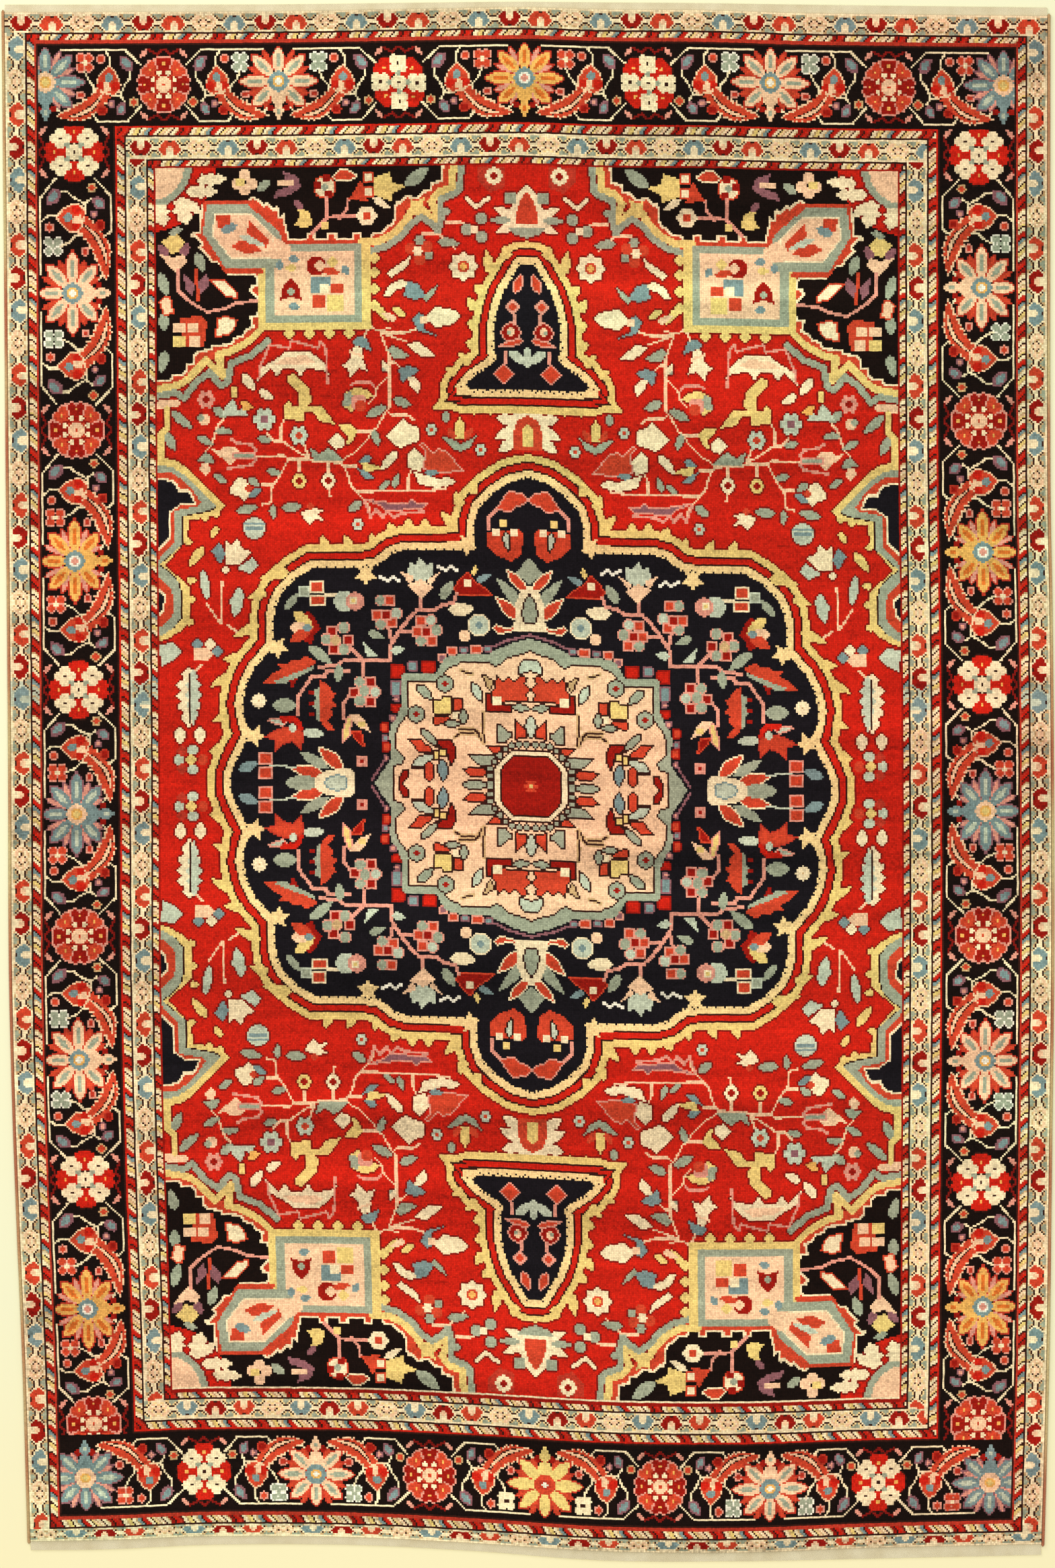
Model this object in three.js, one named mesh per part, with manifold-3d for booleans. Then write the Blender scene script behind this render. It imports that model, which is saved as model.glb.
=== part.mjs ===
// A hand-knotted Persian medallion rug, lying flat.
// Millimetres, +Z up: X runs across the rug, Y along it from foot to head.
// The origin is on the floor, under the middle of the rug.

import * as THREE from 'three';
import { mergeVertices } from 'three/addons/utils/BufferGeometryUtils.js';
import Module from 'manifold-3d';

const wasm = await Module();
wasm.setup();

// ---- Driving dimensions -------------------------------------------------

const PILE_HEIGHT = 6;         // floor to pile tips, foundation included
const PILE_ROUNDING = 1.2;     // worn upper edge of the pile
const FLATWEAVE_HEIGHT = 2;    // cotton ends, which carry no pile
const FLATWEAVE_ROUNDING = 0.4;
const FLATWEAVE_ROOT = 8;      // how far the cotton ends run on under the pile
const SELVEDGE_WIDTH = 4.5;    // overcast side cord
const SELVEDGE_HEIGHT = 4.5;
const SELVEDGE_FOOTPRINT = 2;  // flat that the cord lies on
const SELVEDGE_OVERRUN = 4;    // the overcasting runs on past the pile at each end
const CLEARANCE = 0.3;         // between one piece and the next

const LONG_EDGE_STEPS = 48;
const SHORT_EDGE_STEPS = 32;
const ROUNDING_STEPS = 2;
const SELVEDGE_SIDES = 10;
const CUTTER_SIZE = 4000;      // block that trims what lies below the floor

// The loom never held the rug square, so its edges wander. Each side edge is
// given at a few places: how far up the rug, and how far out from its midline.
const LEFT_EDGE = [
  { along: -1050, out: 669 },
  { along: -776, out: 677 },
  { along: -596, out: 684.5 },
  { along: -416, out: 691 },
  { along: -236, out: 695 },
  { along: 34, out: 696 },
  { along: 394, out: 699 },
  { along: 754, out: 702 },
  { along: 1050, out: 705 },
];
const RIGHT_EDGE = [
  { along: -1050, out: 691 },
  { along: -776, out: 698.5 },
  { along: -506, out: 702 },
  { along: -236, out: 705 },
  { along: 34, out: 704.5 },
  { along: 214, out: 703 },
  { along: 394, out: 700 },
  { along: 754, out: 699.5 },
  { along: 1050, out: 700 },
];

// The end edges: where across the rug, how far out the pile reaches there, and
// how wide the plain cotton weave beyond the pile is.
const HEAD_EDGE = [
  { across: -710, pile: 1030, flatweave: 11 },
  { across: -340, pile: 1031.5, flatweave: 10 },
  { across: -160, pile: 1034.5, flatweave: 9 },
  { across: -5, pile: 1037, flatweave: 8 },
  { across: 100, pile: 1034, flatweave: 10 },
  { across: 240, pile: 1033, flatweave: 10 },
  { across: 370, pile: 1029, flatweave: 12 },
  { across: 710, pile: 1025, flatweave: 12 },
];
const FOOT_EDGE = [
  { across: -710, pile: 1016.5, flatweave: 12 },
  { across: -560, pile: 1014, flatweave: 13 },
  { across: -430, pile: 1009, flatweave: 12 },
  { across: -240, pile: 1010, flatweave: 11 },
  { across: -75, pile: 1018, flatweave: 11 },
  { across: 100, pile: 1029, flatweave: 13 },
  { across: 280, pile: 1031, flatweave: 12 },
  { across: 460, pile: 1024.5, flatweave: 15 },
  { across: 710, pile: 1019, flatweave: 15 },
];

// ---- Colours ------------------------------------------------------------

const woolPile = new THREE.MeshStandardMaterial({ color: 0xa8291c, roughness: 0.95, metalness: 0 });
const edgeWool = new THREE.MeshStandardMaterial({ color: 0x9a4a2c, roughness: 0.9, metalness: 0 });

// ---- Helpers ------------------------------------------------------------

// A smooth value between stations: cubic pieces whose slope at a station is
// that of the line between its two neighbours.
function valueAt(stations, place, value, at) {
  const last = stations.length - 1;
  let i = 0;
  while (i < last - 1 && at > stations[i + 1][place]) i += 1;
  const slopeAt = (k) => {
    const before = stations[Math.max(k - 1, 0)];
    const after = stations[Math.min(k + 1, last)];
    return (after[value] - before[value]) / (after[place] - before[place]);
  };
  const from = stations[i];
  const to = stations[i + 1];
  const span = to[place] - from[place];
  const t = (at - from[place]) / span;
  const rise = to[value] - from[value];
  const bend = t * (1 - t) * ((1 - t) * (slopeAt(i) * span - rise) - t * (slopeAt(i + 1) * span - rise));
  return from[value] + rise * t + bend;
}

function sampled(from, to, steps, pointAt) {
  return Array.from({ length: steps + 1 }, (_, k) => pointAt(from + ((to - from) * k) / steps));
}

const leftCordX = (y) => -valueAt(LEFT_EDGE, 'along', 'out', y) + SELVEDGE_WIDTH / 2;
const rightCordX = (y) => valueAt(RIGHT_EDGE, 'along', 'out', y) - SELVEDGE_WIDTH / 2;
const leftClothX = (y) => leftCordX(y) + SELVEDGE_WIDTH / 2 + CLEARANCE;
const rightClothX = (y) => rightCordX(y) - SELVEDGE_WIDTH / 2 - CLEARANCE;
const headPileY = (x) => valueAt(HEAD_EDGE, 'across', 'pile', x);
const footPileY = (x) => -valueAt(FOOT_EDGE, 'across', 'pile', x);
const headEndY = (x) => headPileY(x) + valueAt(HEAD_EDGE, 'across', 'flatweave', x);
const footEndY = (x) => footPileY(x) - valueAt(FOOT_EDGE, 'across', 'flatweave', x);

// Where a side edge of the cloth meets an end edge.
function corner(sideX, endY) {
  const y = endY(sideX(endY(0)));
  return new THREE.Vector2(sideX(y), y);
}

// The closed outline between two side edges and two end edges, run anticlockwise.
function outline(footY, headY) {
  const footLeft = corner(leftClothX, footY);
  const footRight = corner(rightClothX, footY);
  const headRight = corner(rightClothX, headY);
  const headLeft = corner(leftClothX, headY);
  const longSteps = Math.max(1, Math.round((LONG_EDGE_STEPS * (headLeft.y - footLeft.y)) / 2050));
  const foot = sampled(footLeft.x, footRight.x, SHORT_EDGE_STEPS, (x) => new THREE.Vector2(x, footY(x)));
  const right = sampled(footRight.y, headRight.y, longSteps, (y) => new THREE.Vector2(rightClothX(y), y));
  const head = sampled(headRight.x, headLeft.x, SHORT_EDGE_STEPS, (x) => new THREE.Vector2(x, headY(x)));
  const left = sampled(headLeft.y, footLeft.y, longSteps, (y) => new THREE.Vector2(leftClothX(y), y));
  return [foot, right, head, left].flatMap((side) => side.slice(0, -1));
}

function solidOf(geometry) {
  geometry.deleteAttribute('normal');
  geometry.deleteAttribute('uv');
  const merged = mergeVertices(geometry, 1e-4);
  return new wasm.Manifold(new wasm.Mesh({
    numProp: 3,
    vertProperties: new Float32Array(merged.attributes.position.array),
    triVerts: new Uint32Array(merged.index.array),
  }));
}

function geometryOf(solid) {
  const mesh = solid.getMesh();
  const geometry = new THREE.BufferGeometry();
  geometry.setAttribute('position', new THREE.BufferAttribute(mesh.vertProperties, 3));
  geometry.setIndex(new THREE.BufferAttribute(mesh.triVerts, 1));
  geometry.computeVertexNormals();
  return geometry;
}

// A flat slab on the floor with its upper edge rounded over. The extrusion
// rounds its lower edge too, and that part is trimmed off at the floor.
function slab(points, height, rounding) {
  const geometry = new THREE.ExtrudeGeometry(new THREE.Shape(points), {
    depth: height - rounding,
    bevelEnabled: true,
    bevelThickness: rounding,
    bevelSize: rounding,
    bevelOffset: -rounding,
    bevelSegments: ROUNDING_STEPS,
    steps: 1,
  });
  const belowFloor = new THREE.BoxGeometry(CUTTER_SIZE, CUTTER_SIZE, CUTTER_SIZE);
  belowFloor.translate(0, 0, -CUTTER_SIZE / 2);
  return solidOf(geometry).subtract(solidOf(belowFloor));
}

// ---- Sub-parts ----------------------------------------------------------

// The rug is woven in one: knotted pile between two plain cotton ends.
function makeRugBody() {
  const pile = slab(outline(footPileY, headPileY), PILE_HEIGHT, PILE_ROUNDING);
  const underFootPile = (x) => footPileY(x) + FLATWEAVE_ROOT;
  const underHeadPile = (x) => headPileY(x) - FLATWEAVE_ROOT;
  const footEnd = slab(outline(footEndY, underFootPile), FLATWEAVE_HEIGHT, FLATWEAVE_ROUNDING);
  const headEnd = slab(outline(underHeadPile, headEndY), FLATWEAVE_HEIGHT, FLATWEAVE_ROUNDING);
  const mesh = new THREE.Mesh(geometryOf(pile.add(footEnd).add(headEnd)), woolPile);
  mesh.name = 'rug_body';
  return mesh;
}

// A round cord with a narrow flat under it, overcast along one side edge.
function makeSelvedge(name, cordX, endX) {
  const section = new THREE.Shape();
  const halfFoot = Math.asin(SELVEDGE_FOOTPRINT / SELVEDGE_WIDTH);
  const turn = 2 * Math.PI - 2 * halfFoot;
  for (let k = 0; k <= SELVEDGE_SIDES; k += 1) {
    const angle = halfFoot + (turn * k) / SELVEDGE_SIDES;
    const up = -Math.cos(angle) * (SELVEDGE_HEIGHT / 2);
    const side = Math.sin(angle) * (SELVEDGE_WIDTH / 2);
    if (k === 0) section.moveTo(up, side);
    else section.lineTo(up, side);
  }
  const foot = footPileY(endX) - SELVEDGE_OVERRUN;
  const head = headPileY(endX) + SELVEDGE_OVERRUN;
  const route = sampled(foot, head, LONG_EDGE_STEPS, (y) => new THREE.Vector3(cordX(y), y, 0));
  const geometry = new THREE.ExtrudeGeometry(section, {
    steps: LONG_EDGE_STEPS,
    extrudePath: new THREE.CatmullRomCurve3(route),
    bevelEnabled: false,
  });
  const mesh = new THREE.Mesh(geometry, edgeWool);
  mesh.name = name;
  geometry.computeBoundingBox();
  mesh.position.z = -geometry.boundingBox.min.z;
  return mesh;
}

// ---- The rug ------------------------------------------------------------

const rug = new THREE.Group();
rug.add(
  makeRugBody(),
  makeSelvedge('selvedge_left', leftCordX, -LEFT_EDGE.at(-1).out),
  makeSelvedge('selvedge_right', rightCordX, RIGHT_EDGE.at(-1).out),
);

// The middle of the whole rug goes over the origin.
rug.updateMatrixWorld(true);
const middle = new THREE.Box3().setFromObject(rug, true).getCenter(new THREE.Vector3());
rug.position.set(-middle.x, -middle.y, 0);
rug.updateMatrixWorld(true);

export default rug;
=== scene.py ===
# %% [markdown]
# # A hand-knotted Persian medallion rug
#
# The rug lies flat on a pale floor, seen from straight above. A real one is made
# knot by knot from a chart on squared paper, so this lesson works the same way:
# first the chart is drawn with simple shapes, then its colours go onto a sheet
# that has a face for every eight knots, and only then is the wool given its look.
#
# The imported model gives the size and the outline. It is loaded first, and nothing
# in it is moved.

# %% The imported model
import math

import bpy
import numpy as np
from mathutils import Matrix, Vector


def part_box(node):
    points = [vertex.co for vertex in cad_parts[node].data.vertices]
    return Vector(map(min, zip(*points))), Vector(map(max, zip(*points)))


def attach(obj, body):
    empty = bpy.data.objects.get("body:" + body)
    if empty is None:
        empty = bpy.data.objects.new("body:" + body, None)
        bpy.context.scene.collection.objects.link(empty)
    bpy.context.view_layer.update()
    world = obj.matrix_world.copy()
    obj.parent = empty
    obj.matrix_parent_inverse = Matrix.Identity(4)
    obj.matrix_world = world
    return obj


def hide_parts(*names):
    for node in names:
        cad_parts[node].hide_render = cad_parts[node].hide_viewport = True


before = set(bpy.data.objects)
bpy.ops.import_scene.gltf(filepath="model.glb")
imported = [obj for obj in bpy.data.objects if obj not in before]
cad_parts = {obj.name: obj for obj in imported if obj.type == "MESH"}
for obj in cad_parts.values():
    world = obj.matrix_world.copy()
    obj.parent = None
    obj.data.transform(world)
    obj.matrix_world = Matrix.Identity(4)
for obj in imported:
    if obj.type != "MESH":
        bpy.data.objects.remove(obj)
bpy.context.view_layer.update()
rug_low, rug_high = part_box("rug_body")
print("rug body, metres:", [round(b - a, 3) for a, b in zip(rug_low, rug_high)])

# %% [markdown]
# ## The outline
#
# No hand-made rug is a true rectangle, because the warps are never stretched quite
# evenly. The four wandering edges could be drawn again as curves, but the packed
# solid already has them, so they are read from it: the corner points of the pile
# block, between its upright sides and its rounded upper edge.

# %% The four edges of the pile
MM = 0.001
PILE_TOP = rug_high.z
PILE_ROUNDING = 1.2 * MM     # worn upper edge of the pile
FLATWEAVE = 2.0 * MM         # height of the cotton ends

coordinates = np.array([v.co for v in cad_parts["rug_body"].data.vertices])
shoulder = PILE_TOP - PILE_ROUNDING
rim = np.unique(coordinates[abs(coordinates[:, 2] - shoulder) < 0.02 * MM][:, :2].round(6), axis=0)
ring = rim[np.argsort(np.arctan2(rim[:, 1], rim[:, 0]))]     # anticlockwise from the left
corner_at = {name: int(np.argmax(ring @ way)) for name, way in [
    ("foot left", (-1, -1)), ("foot right", (1, -1)),
    ("head right", (1, 1)), ("head left", (-1, 1))]}
corners = {name: ring[k] for name, k in corner_at.items()}
print(len(ring), "points on the rim;", {k: v.round(3).tolist() for k, v in corners.items()})


def edge_points(first, last, axis):
    """The ring's points from one corner round to the next, sorted along X (0) or Y (1)."""
    start, stop = corner_at[first], corner_at[last]
    count = (stop - start) % len(ring) + 1
    points = ring[(start + np.arange(count)) % len(ring)]
    return points[np.argsort(points[:, axis])]


FOOT, HEAD = edge_points("foot left", "foot right", 0), edge_points("head right", "head left", 0)
RIGHT, LEFT = edge_points("foot right", "head right", 1), edge_points("head left", "foot left", 1)
print("points on each edge:", [len(edge) for edge in (FOOT, HEAD, RIGHT, LEFT)])


def smooth_at(points, axis, place):
    """The edge at some places along an axis, as a smooth curve through its points."""
    x, y = points[:, axis], points[:, 1 - axis]
    slope = np.gradient(y, x)
    i = np.clip(np.searchsorted(x, place) - 1, 0, len(x) - 2)
    span, rise = x[i + 1] - x[i], y[i + 1] - y[i]
    t = np.clip((place - x[i]) / span, -0.5, 1.5)
    bend = t * (1 - t) * ((1 - t) * (slope[i] * span - rise) - t * (slope[i + 1] * span - rise))
    return y[i] + rise * t + bend


def cloth_point(u, v):
    """Where a place on the cloth lies: u runs left to right and v head to foot, from 0 to 1."""
    hl, hr, fl, fr = (corners[k] for k in ("head left", "head right", "foot left", "foot right"))
    u, v = np.broadcast_arrays(np.asarray(u, float), np.asarray(v, float))
    xt, xb = hl[0] + (hr[0] - hl[0]) * u, fl[0] + (fr[0] - fl[0]) * u
    yl, yr = hl[1] + (fl[1] - hl[1]) * v, hr[1] + (fr[1] - hr[1]) * v
    head = np.stack([xt, smooth_at(HEAD, 0, xt)], -1)
    foot = np.stack([xb, smooth_at(FOOT, 0, xb)], -1)
    left = np.stack([smooth_at(LEFT, 1, yl), yl], -1)
    right = np.stack([smooth_at(RIGHT, 1, yr), yr], -1)
    u, v = u[..., None], v[..., None]
    plain = (1 - u) * (1 - v) * hl + u * (1 - v) * hr + (1 - u) * v * fl + u * v * fr
    return (1 - v) * head + v * foot + (1 - u) * left + u * right - plain


print("middle of the cloth:", cloth_point(0.5, 0.5).round(4))

# %% [markdown]
# ## The camera
#
# The rug is seen square on. A long lens from five metres up keeps its edges parallel,
# and its thickness doesn't show.

# %% Camera
PICTURE_HEIGHT = 2331 * 0.9 * MM     # what the picture takes in, at the height of the pile
PICTURE_MIDDLE = (-0.5 * MM, -3.1 * MM)
CAMERA_HEIGHT = 5.0

bpy.ops.object.camera_add(location=(*PICTURE_MIDDLE, CAMERA_HEIGHT), rotation=(0, 0, 0))
camera = bpy.context.object
camera.name = "camera_above"
camera.data.sensor_width = 36
camera.data.lens = camera.data.sensor_width * (CAMERA_HEIGHT - PILE_TOP) / PICTURE_HEIGHT
bpy.context.scene.camera = camera
print("lens, mm:", round(camera.data.lens, 1))

# %% [markdown]
# ## The dyes
#
# The wool comes from a few dye pots, and every knot is one of these colours. Madder
# gives the reds, coral and pinks, indigo the blues, weld over indigo the sage greens,
# and walnut husk the browns, down to the sooty brown-black of the border's ground.
# They are named once here and used by name in the whole design.

# %% Dyes
DYES = {     # red, green and blue from 0 to 255, as a screen shows them
    "red": (198, 33, 18), "crimson": (152, 24, 14), "coral": (202, 68, 42), "rust": (184, 55, 38),
    "peach": (243, 200, 160), "cream": (243, 224, 182), "ivory": (238, 234, 214),
    "gold": (230, 202, 122), "amber": (233, 176, 92), "sage": (156, 164, 140),
    "sky": (190, 200, 176), "slate": (122, 145, 144), "navy": (22, 19, 24),
    "brown": (52, 24, 18), "pink": (222, 150, 130), "mauve": (140, 92, 98),
    "tan": (200, 166, 118), "orange": (216, 112, 44), "wine": (124, 22, 16),
    "wheat": (244, 212, 148), "soot": (22, 12, 9),
}
DYE = {name: number for number, name in enumerate(DYES)}
print(len(DYE), "dyes")

# %% [markdown]
# ## The chart
#
# A weaver's chart is squared paper with one square for each knot. Here it is an array
# of dye numbers. It could be filled in by hand, square by square, but shapes are
# quicker: a shape dyes every knot whose middle it covers, which gives the stepped
# outlines of real knotting by itself.

# %% The squared paper
COLUMNS, ROWS = 572, 848     # knots across and along the rug


def next_to(mask):
    """The knots above, below, left or right of a mask's knots."""
    near = np.zeros_like(mask)
    near[1:] |= mask[:-1]
    near[:-1] |= mask[1:]
    near[:, 1:] |= mask[:, :-1]
    near[:, :-1] |= mask[:, 1:]
    return near


class Chart:
    """A weaver's chart: one dye number a knot, with row 0 at the lowest y."""

    def __init__(self, columns, rows, ground, left=0.0, bottom=0.0):
        self.knots = np.full((rows, columns), DYE[ground], np.uint8)
        self.left, self.bottom = left, bottom
        self.reported = self.knots.copy()

    def window(self, low, high):
        """The knots between two corners: their slice of the chart and their centres."""
        rows, columns = self.knots.shape
        c0 = int(np.clip(math.floor(low[0] - self.left) - 1, 0, columns))
        c1 = int(np.clip(math.ceil(high[0] - self.left) + 1, 0, columns))
        r0 = int(np.clip(math.floor(low[1] - self.bottom) - 1, 0, rows))
        r1 = int(np.clip(math.ceil(high[1] - self.bottom) + 1, 0, rows))
        x = self.left + 0.5 + np.arange(c0, c1)
        y = self.bottom + 0.5 + np.arange(r0, r1)
        return (slice(r0, r1), slice(c0, c1)), *np.meshgrid(x, y)

    def dye(self, place, mask, colour, rim=None):
        """Dye the knots of a mask, with its outermost knots in the rim colour."""
        if rim:
            self.knots[place][mask] = DYE[rim]
            mask = mask & ~next_to(~mask)
        self.knots[place][mask] = DYE[colour]

    def report(self, title):
        """Print how many knots have changed since the last report."""
        changed = np.count_nonzero(self.knots != self.reported)
        self.reported = self.knots.copy()
        print(f"{title}: {changed} knots dyed")


# %% Which knots a shape covers
def inside(x, y, points):
    """True where a knot lies inside a closed outline."""
    hit = np.zeros(x.shape, bool)
    for (ax, ay), (bx, by) in zip(points, np.roll(points, -1, axis=0)):
        if ay == by:
            continue
        crosses = (ay > y) != (by > y)
        hit ^= crosses & (x < (bx - ax) * (y - ay) / (by - ay) + ax)
    return hit


def away(x, y, points):
    """How far each knot lies from a line through the points."""
    nearest = np.full(x.shape, 1e9)
    for (ax, ay), (bx, by) in zip(points[:-1], points[1:]):
        dx, dy = bx - ax, by - ay
        length = dx * dx + dy * dy or 1e-9
        t = np.clip(((x - ax) * dx + (y - ay) * dy) / length, 0, 1)
        nearest = np.minimum(nearest, np.hypot(x - ax - t * dx, y - ay - t * dy))
    return nearest


# %% [markdown]
# ## The pen
#
# All motifs are drawn with a few strokes: an area, a block, a line, a disc, a band
# along an outline, and a leaf. A pen has a place, a turn, a size and a flip of its own,
# so one drawing of a flower serves for every side of the border.

# %% The pen and its strokes
LINE_SLACK = 0.08            # in knots, so that a thin line doesn't break between two knots
SAW_PITCH = 5                # a sawn band keeps one knot in five, aslant
LEAF_FULLNESS = 0.75         # below 1, a leaf is fuller than a sine arch
TOOTH_GAP = 0.55             # what is left of a toothed leaf's width between its teeth
ROSETTE_HEART, ROSETTE_EYE = 0.38, 0.16     # radii, as shares of the rosette's own


class Pen:
    """Draws on a chart from a place of its own, turned, sized or mirrored."""

    def __init__(self, chart, x=0.0, y=0.0, turn=0.0, size=1.0, flip=False, long=1.0):
        self.chart, self.x, self.y, self.turn, self.size = chart, x, y, turn, size
        self.flip, self.long = flip, long

    def at(self, x, y, turn=0.0, size=1.0):
        """The same pen set down at another place, turned and sized."""
        (px, py), = self.set_out([(x, y)])
        turn = self.turn + (-turn if self.flip else turn)
        return Pen(self.chart, px, py, turn, self.size * size, self.flip, self.long)

    def set_out(self, points):
        """Where points of a drawing fall on the chart."""
        points = np.array(points, float) * self.size
        points[:, 0] *= -self.long if self.flip else self.long
        c, s = math.cos(math.radians(self.turn)), math.sin(math.radians(self.turn))
        return points @ np.array([[c, s], [-s, c]]) + (self.x, self.y)

    def area(self, colour, points, rim=None):
        points = self.set_out(points)
        place, x, y = self.chart.window(points.min(0), points.max(0))
        self.chart.dye(place, inside(x, y, points), colour, rim)

    def block(self, colour, x0, x1, y0, y1, rim=None):
        self.area(colour, [(x0, y0), (x1, y0), (x1, y1), (x0, y1)], rim)

    def line(self, colour, width, points):
        points = self.set_out(points)
        place, x, y = self.chart.window(points.min(0) - width, points.max(0) + width)
        self.chart.dye(place, away(x, y, points) <= width / 2 * self.size + LINE_SLACK, colour)

    def disc(self, colour, x, y, radius, rim=None):
        (cx, cy), = self.set_out([(x, y)])
        r = radius * self.size
        place, gx, gy = self.chart.window((cx - r, cy - r), (cx + r, cy + r))
        self.chart.dye(place, np.hypot(gx - cx, gy - cy) <= r, colour, rim)

    def band(self, colour, points, inner, outer, sawn=False):
        """A band along the outside of a closed outline, between two distances from it."""
        points = self.set_out(points)
        place, x, y = self.chart.window(points.min(0) - outer, points.max(0) + outer)
        distance = away(x, y, np.vstack([points, points[:1]]))
        distance[inside(x, y, points)] *= -1
        mask = (distance >= inner) & (distance < outer)
        if sawn:
            mask &= (x + 2 * y) % SAW_PITCH < 1
        self.chart.dye(place, mask, colour)

    def leaf(self, colour, base, tip, width, rim=None, teeth=0, bend=0.0, belly=0.85):
        """A pointed leaf or petal; a belly under 1 is near its base, and over 1 near its tip."""
        base, tip = np.array(base, float), np.array(tip, float)
        along = tip - base
        across = np.array([-along[1], along[0]]) / (np.hypot(*along) or 1.0)
        steps = 2 * teeth + 1 if teeth else 8
        t = np.linspace(0, 1, steps + 1)
        half = width / 2 * np.sin(np.pi * t ** belly) ** LEAF_FULLNESS
        middle = base + np.outer(t, along) + np.outer(bend * np.sin(np.pi * t), across)
        if teeth:
            half[2:-1:2] *= TOOTH_GAP
        sides = np.outer(half, across)
        self.area(colour, np.vstack([middle + sides, (middle - sides)[::-1]]), rim)

    def petals(self, colour, count, x, y, length, width, first=0.0, belly=0.85):
        """A ring of petals round a middle."""
        for k in range(count):
            a = math.radians(first + 360 * k / count)
            tip = x + length * math.cos(a), y + length * math.sin(a)
            self.leaf(colour, (x, y), tip, width, belly=belly)

    def rosette(self, x, y, radius, petal, heart, count, eye=None):
        """A round flower of blunt petals with a heart."""
        width = 2.2 * math.pi * radius * 0.62 / count     # the petals lap where they are widest
        self.petals(petal, count, x, y, radius, width, belly=1.4)
        self.disc(heart, x, y, radius * ROSETTE_HEART)
        if eye:
            self.disc(eye, x, y, radius * ROSETTE_EYE + 0.3)


# %% [markdown]
# ## The field
#
# One quarter of the field is drawn and then mirrored into the other three. Places are
# in knots from the middle of the rug, x sideways and y towards the end. The order is
# the order of overlap: red ground first, then what lies on it.
#
# Three small helpers draw what recurs: thorns on a band, a little star, and the ribbon
# of cream, red and gold with thin dark lines that runs round the medallion and the
# pendants. A real weaver counts such a ribbon out from its edge, and so does the band
# stroke.

# %% Thorns, stars and ribbons
def thorns(pen, colour, places, width=5.5):
    """Small thorns on a band: where each springs from, and its tip."""
    for base, tip in places:
        pen.leaf(colour, base, tip, width, belly=0.6)


def star(pen, colour, x, y, radius, first):
    """A small five-pointed star; first is the way that one of its points looks."""
    turns = [math.radians(first + 36 * k) for k in range(10)]
    reach = [radius, radius * 0.5] * 5
    pen.area(colour, [(x + r * math.cos(a), y + r * math.sin(a)) for r, a in zip(reach, turns)])


def ribbon(pen, shape, ground, inner=4.2, red=4.4, outer=3.8):
    """Cream, red and gold bands round an area, parted by dark lines a knot wide."""
    r = inner + red
    pen.area(ground, shape)
    for colour, a, b in [
        ("wheat", 0, inner), ("brown", inner, inner + 0.9), ("red", inner + 0.9, r - 0.3),
        ("brown", r - 0.3, r + 0.6), ("gold", r + 0.6, r + 0.6 + outer)
    ]:
        pen.band(colour, shape, a, b)
    pen.band(ground, shape, 0, 1.1, sawn=True)


QUARTER_ACROSS, QUARTER_UP = 205, 342
quarter = Chart(QUARTER_ACROSS, QUARTER_UP, "red")
pen = Pen(quarter)
print("red ground:", quarter.knots.size, "knots")

# %% [markdown]
# ### The red ground
#
# Thin peach stems carry leaves, blossoms and a few larger figures. Each stem is a chain
# of points. They come first, so that the leaves cover their ends.

# %% Stems on the red ground
for points in [
    [(87, 252), (84, 250), (81, 249), (80, 246), (78, 241), (76, 236), (76, 207), (78, 205),
    (81, 200), (83, 196), (86, 194), (88, 190), (93, 185), (96, 182), (100, 180), (103, 177),
    (118, 177.5), (120, 179), (132, 179), (134, 181), (150, 180.5)],
    [(81, 249), (75, 251)], [(80, 248), (68, 248), (61, 250)], [(80, 248), (72, 245), (66, 243)],
    [(87, 252), (90, 245)], [(76, 232), (73, 232), (70, 229)],
    [(76, 225), (80, 221), (83, 218), (84, 213), (88, 209)], [(86, 194), (95, 194)],
    [(77, 205), (75, 203), (66, 203), (62, 200)],
    [(120, 180), (125, 182), (131, 186), (135, 189), (140, 189), (144, 194)],
    [(136, 190), (136, 197), (133, 203)], [(123, 187), (122, 183), (120, 180)],
    [(132, 179), (135, 173), (138, 168), (140, 165), (147, 165)],
    [(141, 164), (142, 155), (147, 154)], [(126, 178), (126, 172)],
    [(110, 177), (110, 163), (109, 158)],
    [(103, 177), (101, 174), (99, 170), (98, 165), (95, 161), (56, 161.5), (45, 163)],
    [(101, 175), (94, 175)], [(95, 161), (91, 157), (88, 153), (87, 148)],
    [(66, 161), (66, 169), (64, 173)],
    [(167, 202), (171, 197), (173, 190), (175, 186), (178, 183)],
    [(45, 308), (36, 308), (33, 306)], [(58, 302), (49, 302), (44, 298), (39, 293)],
    [(169, 112), (170, 88)], [(178, 100), (170, 88)], [(167, 88), (160, 83)],
    [(180, 66), (187, 60)]
]:
    pen.line("peach", 1.1, points)
quarter.report("stems on the red ground")

# %% [markdown]
# A small leaf needs only its base, its tip and its width. Petals with a shape of their
# own are areas with a few corners, as they would be on squared paper.

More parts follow.
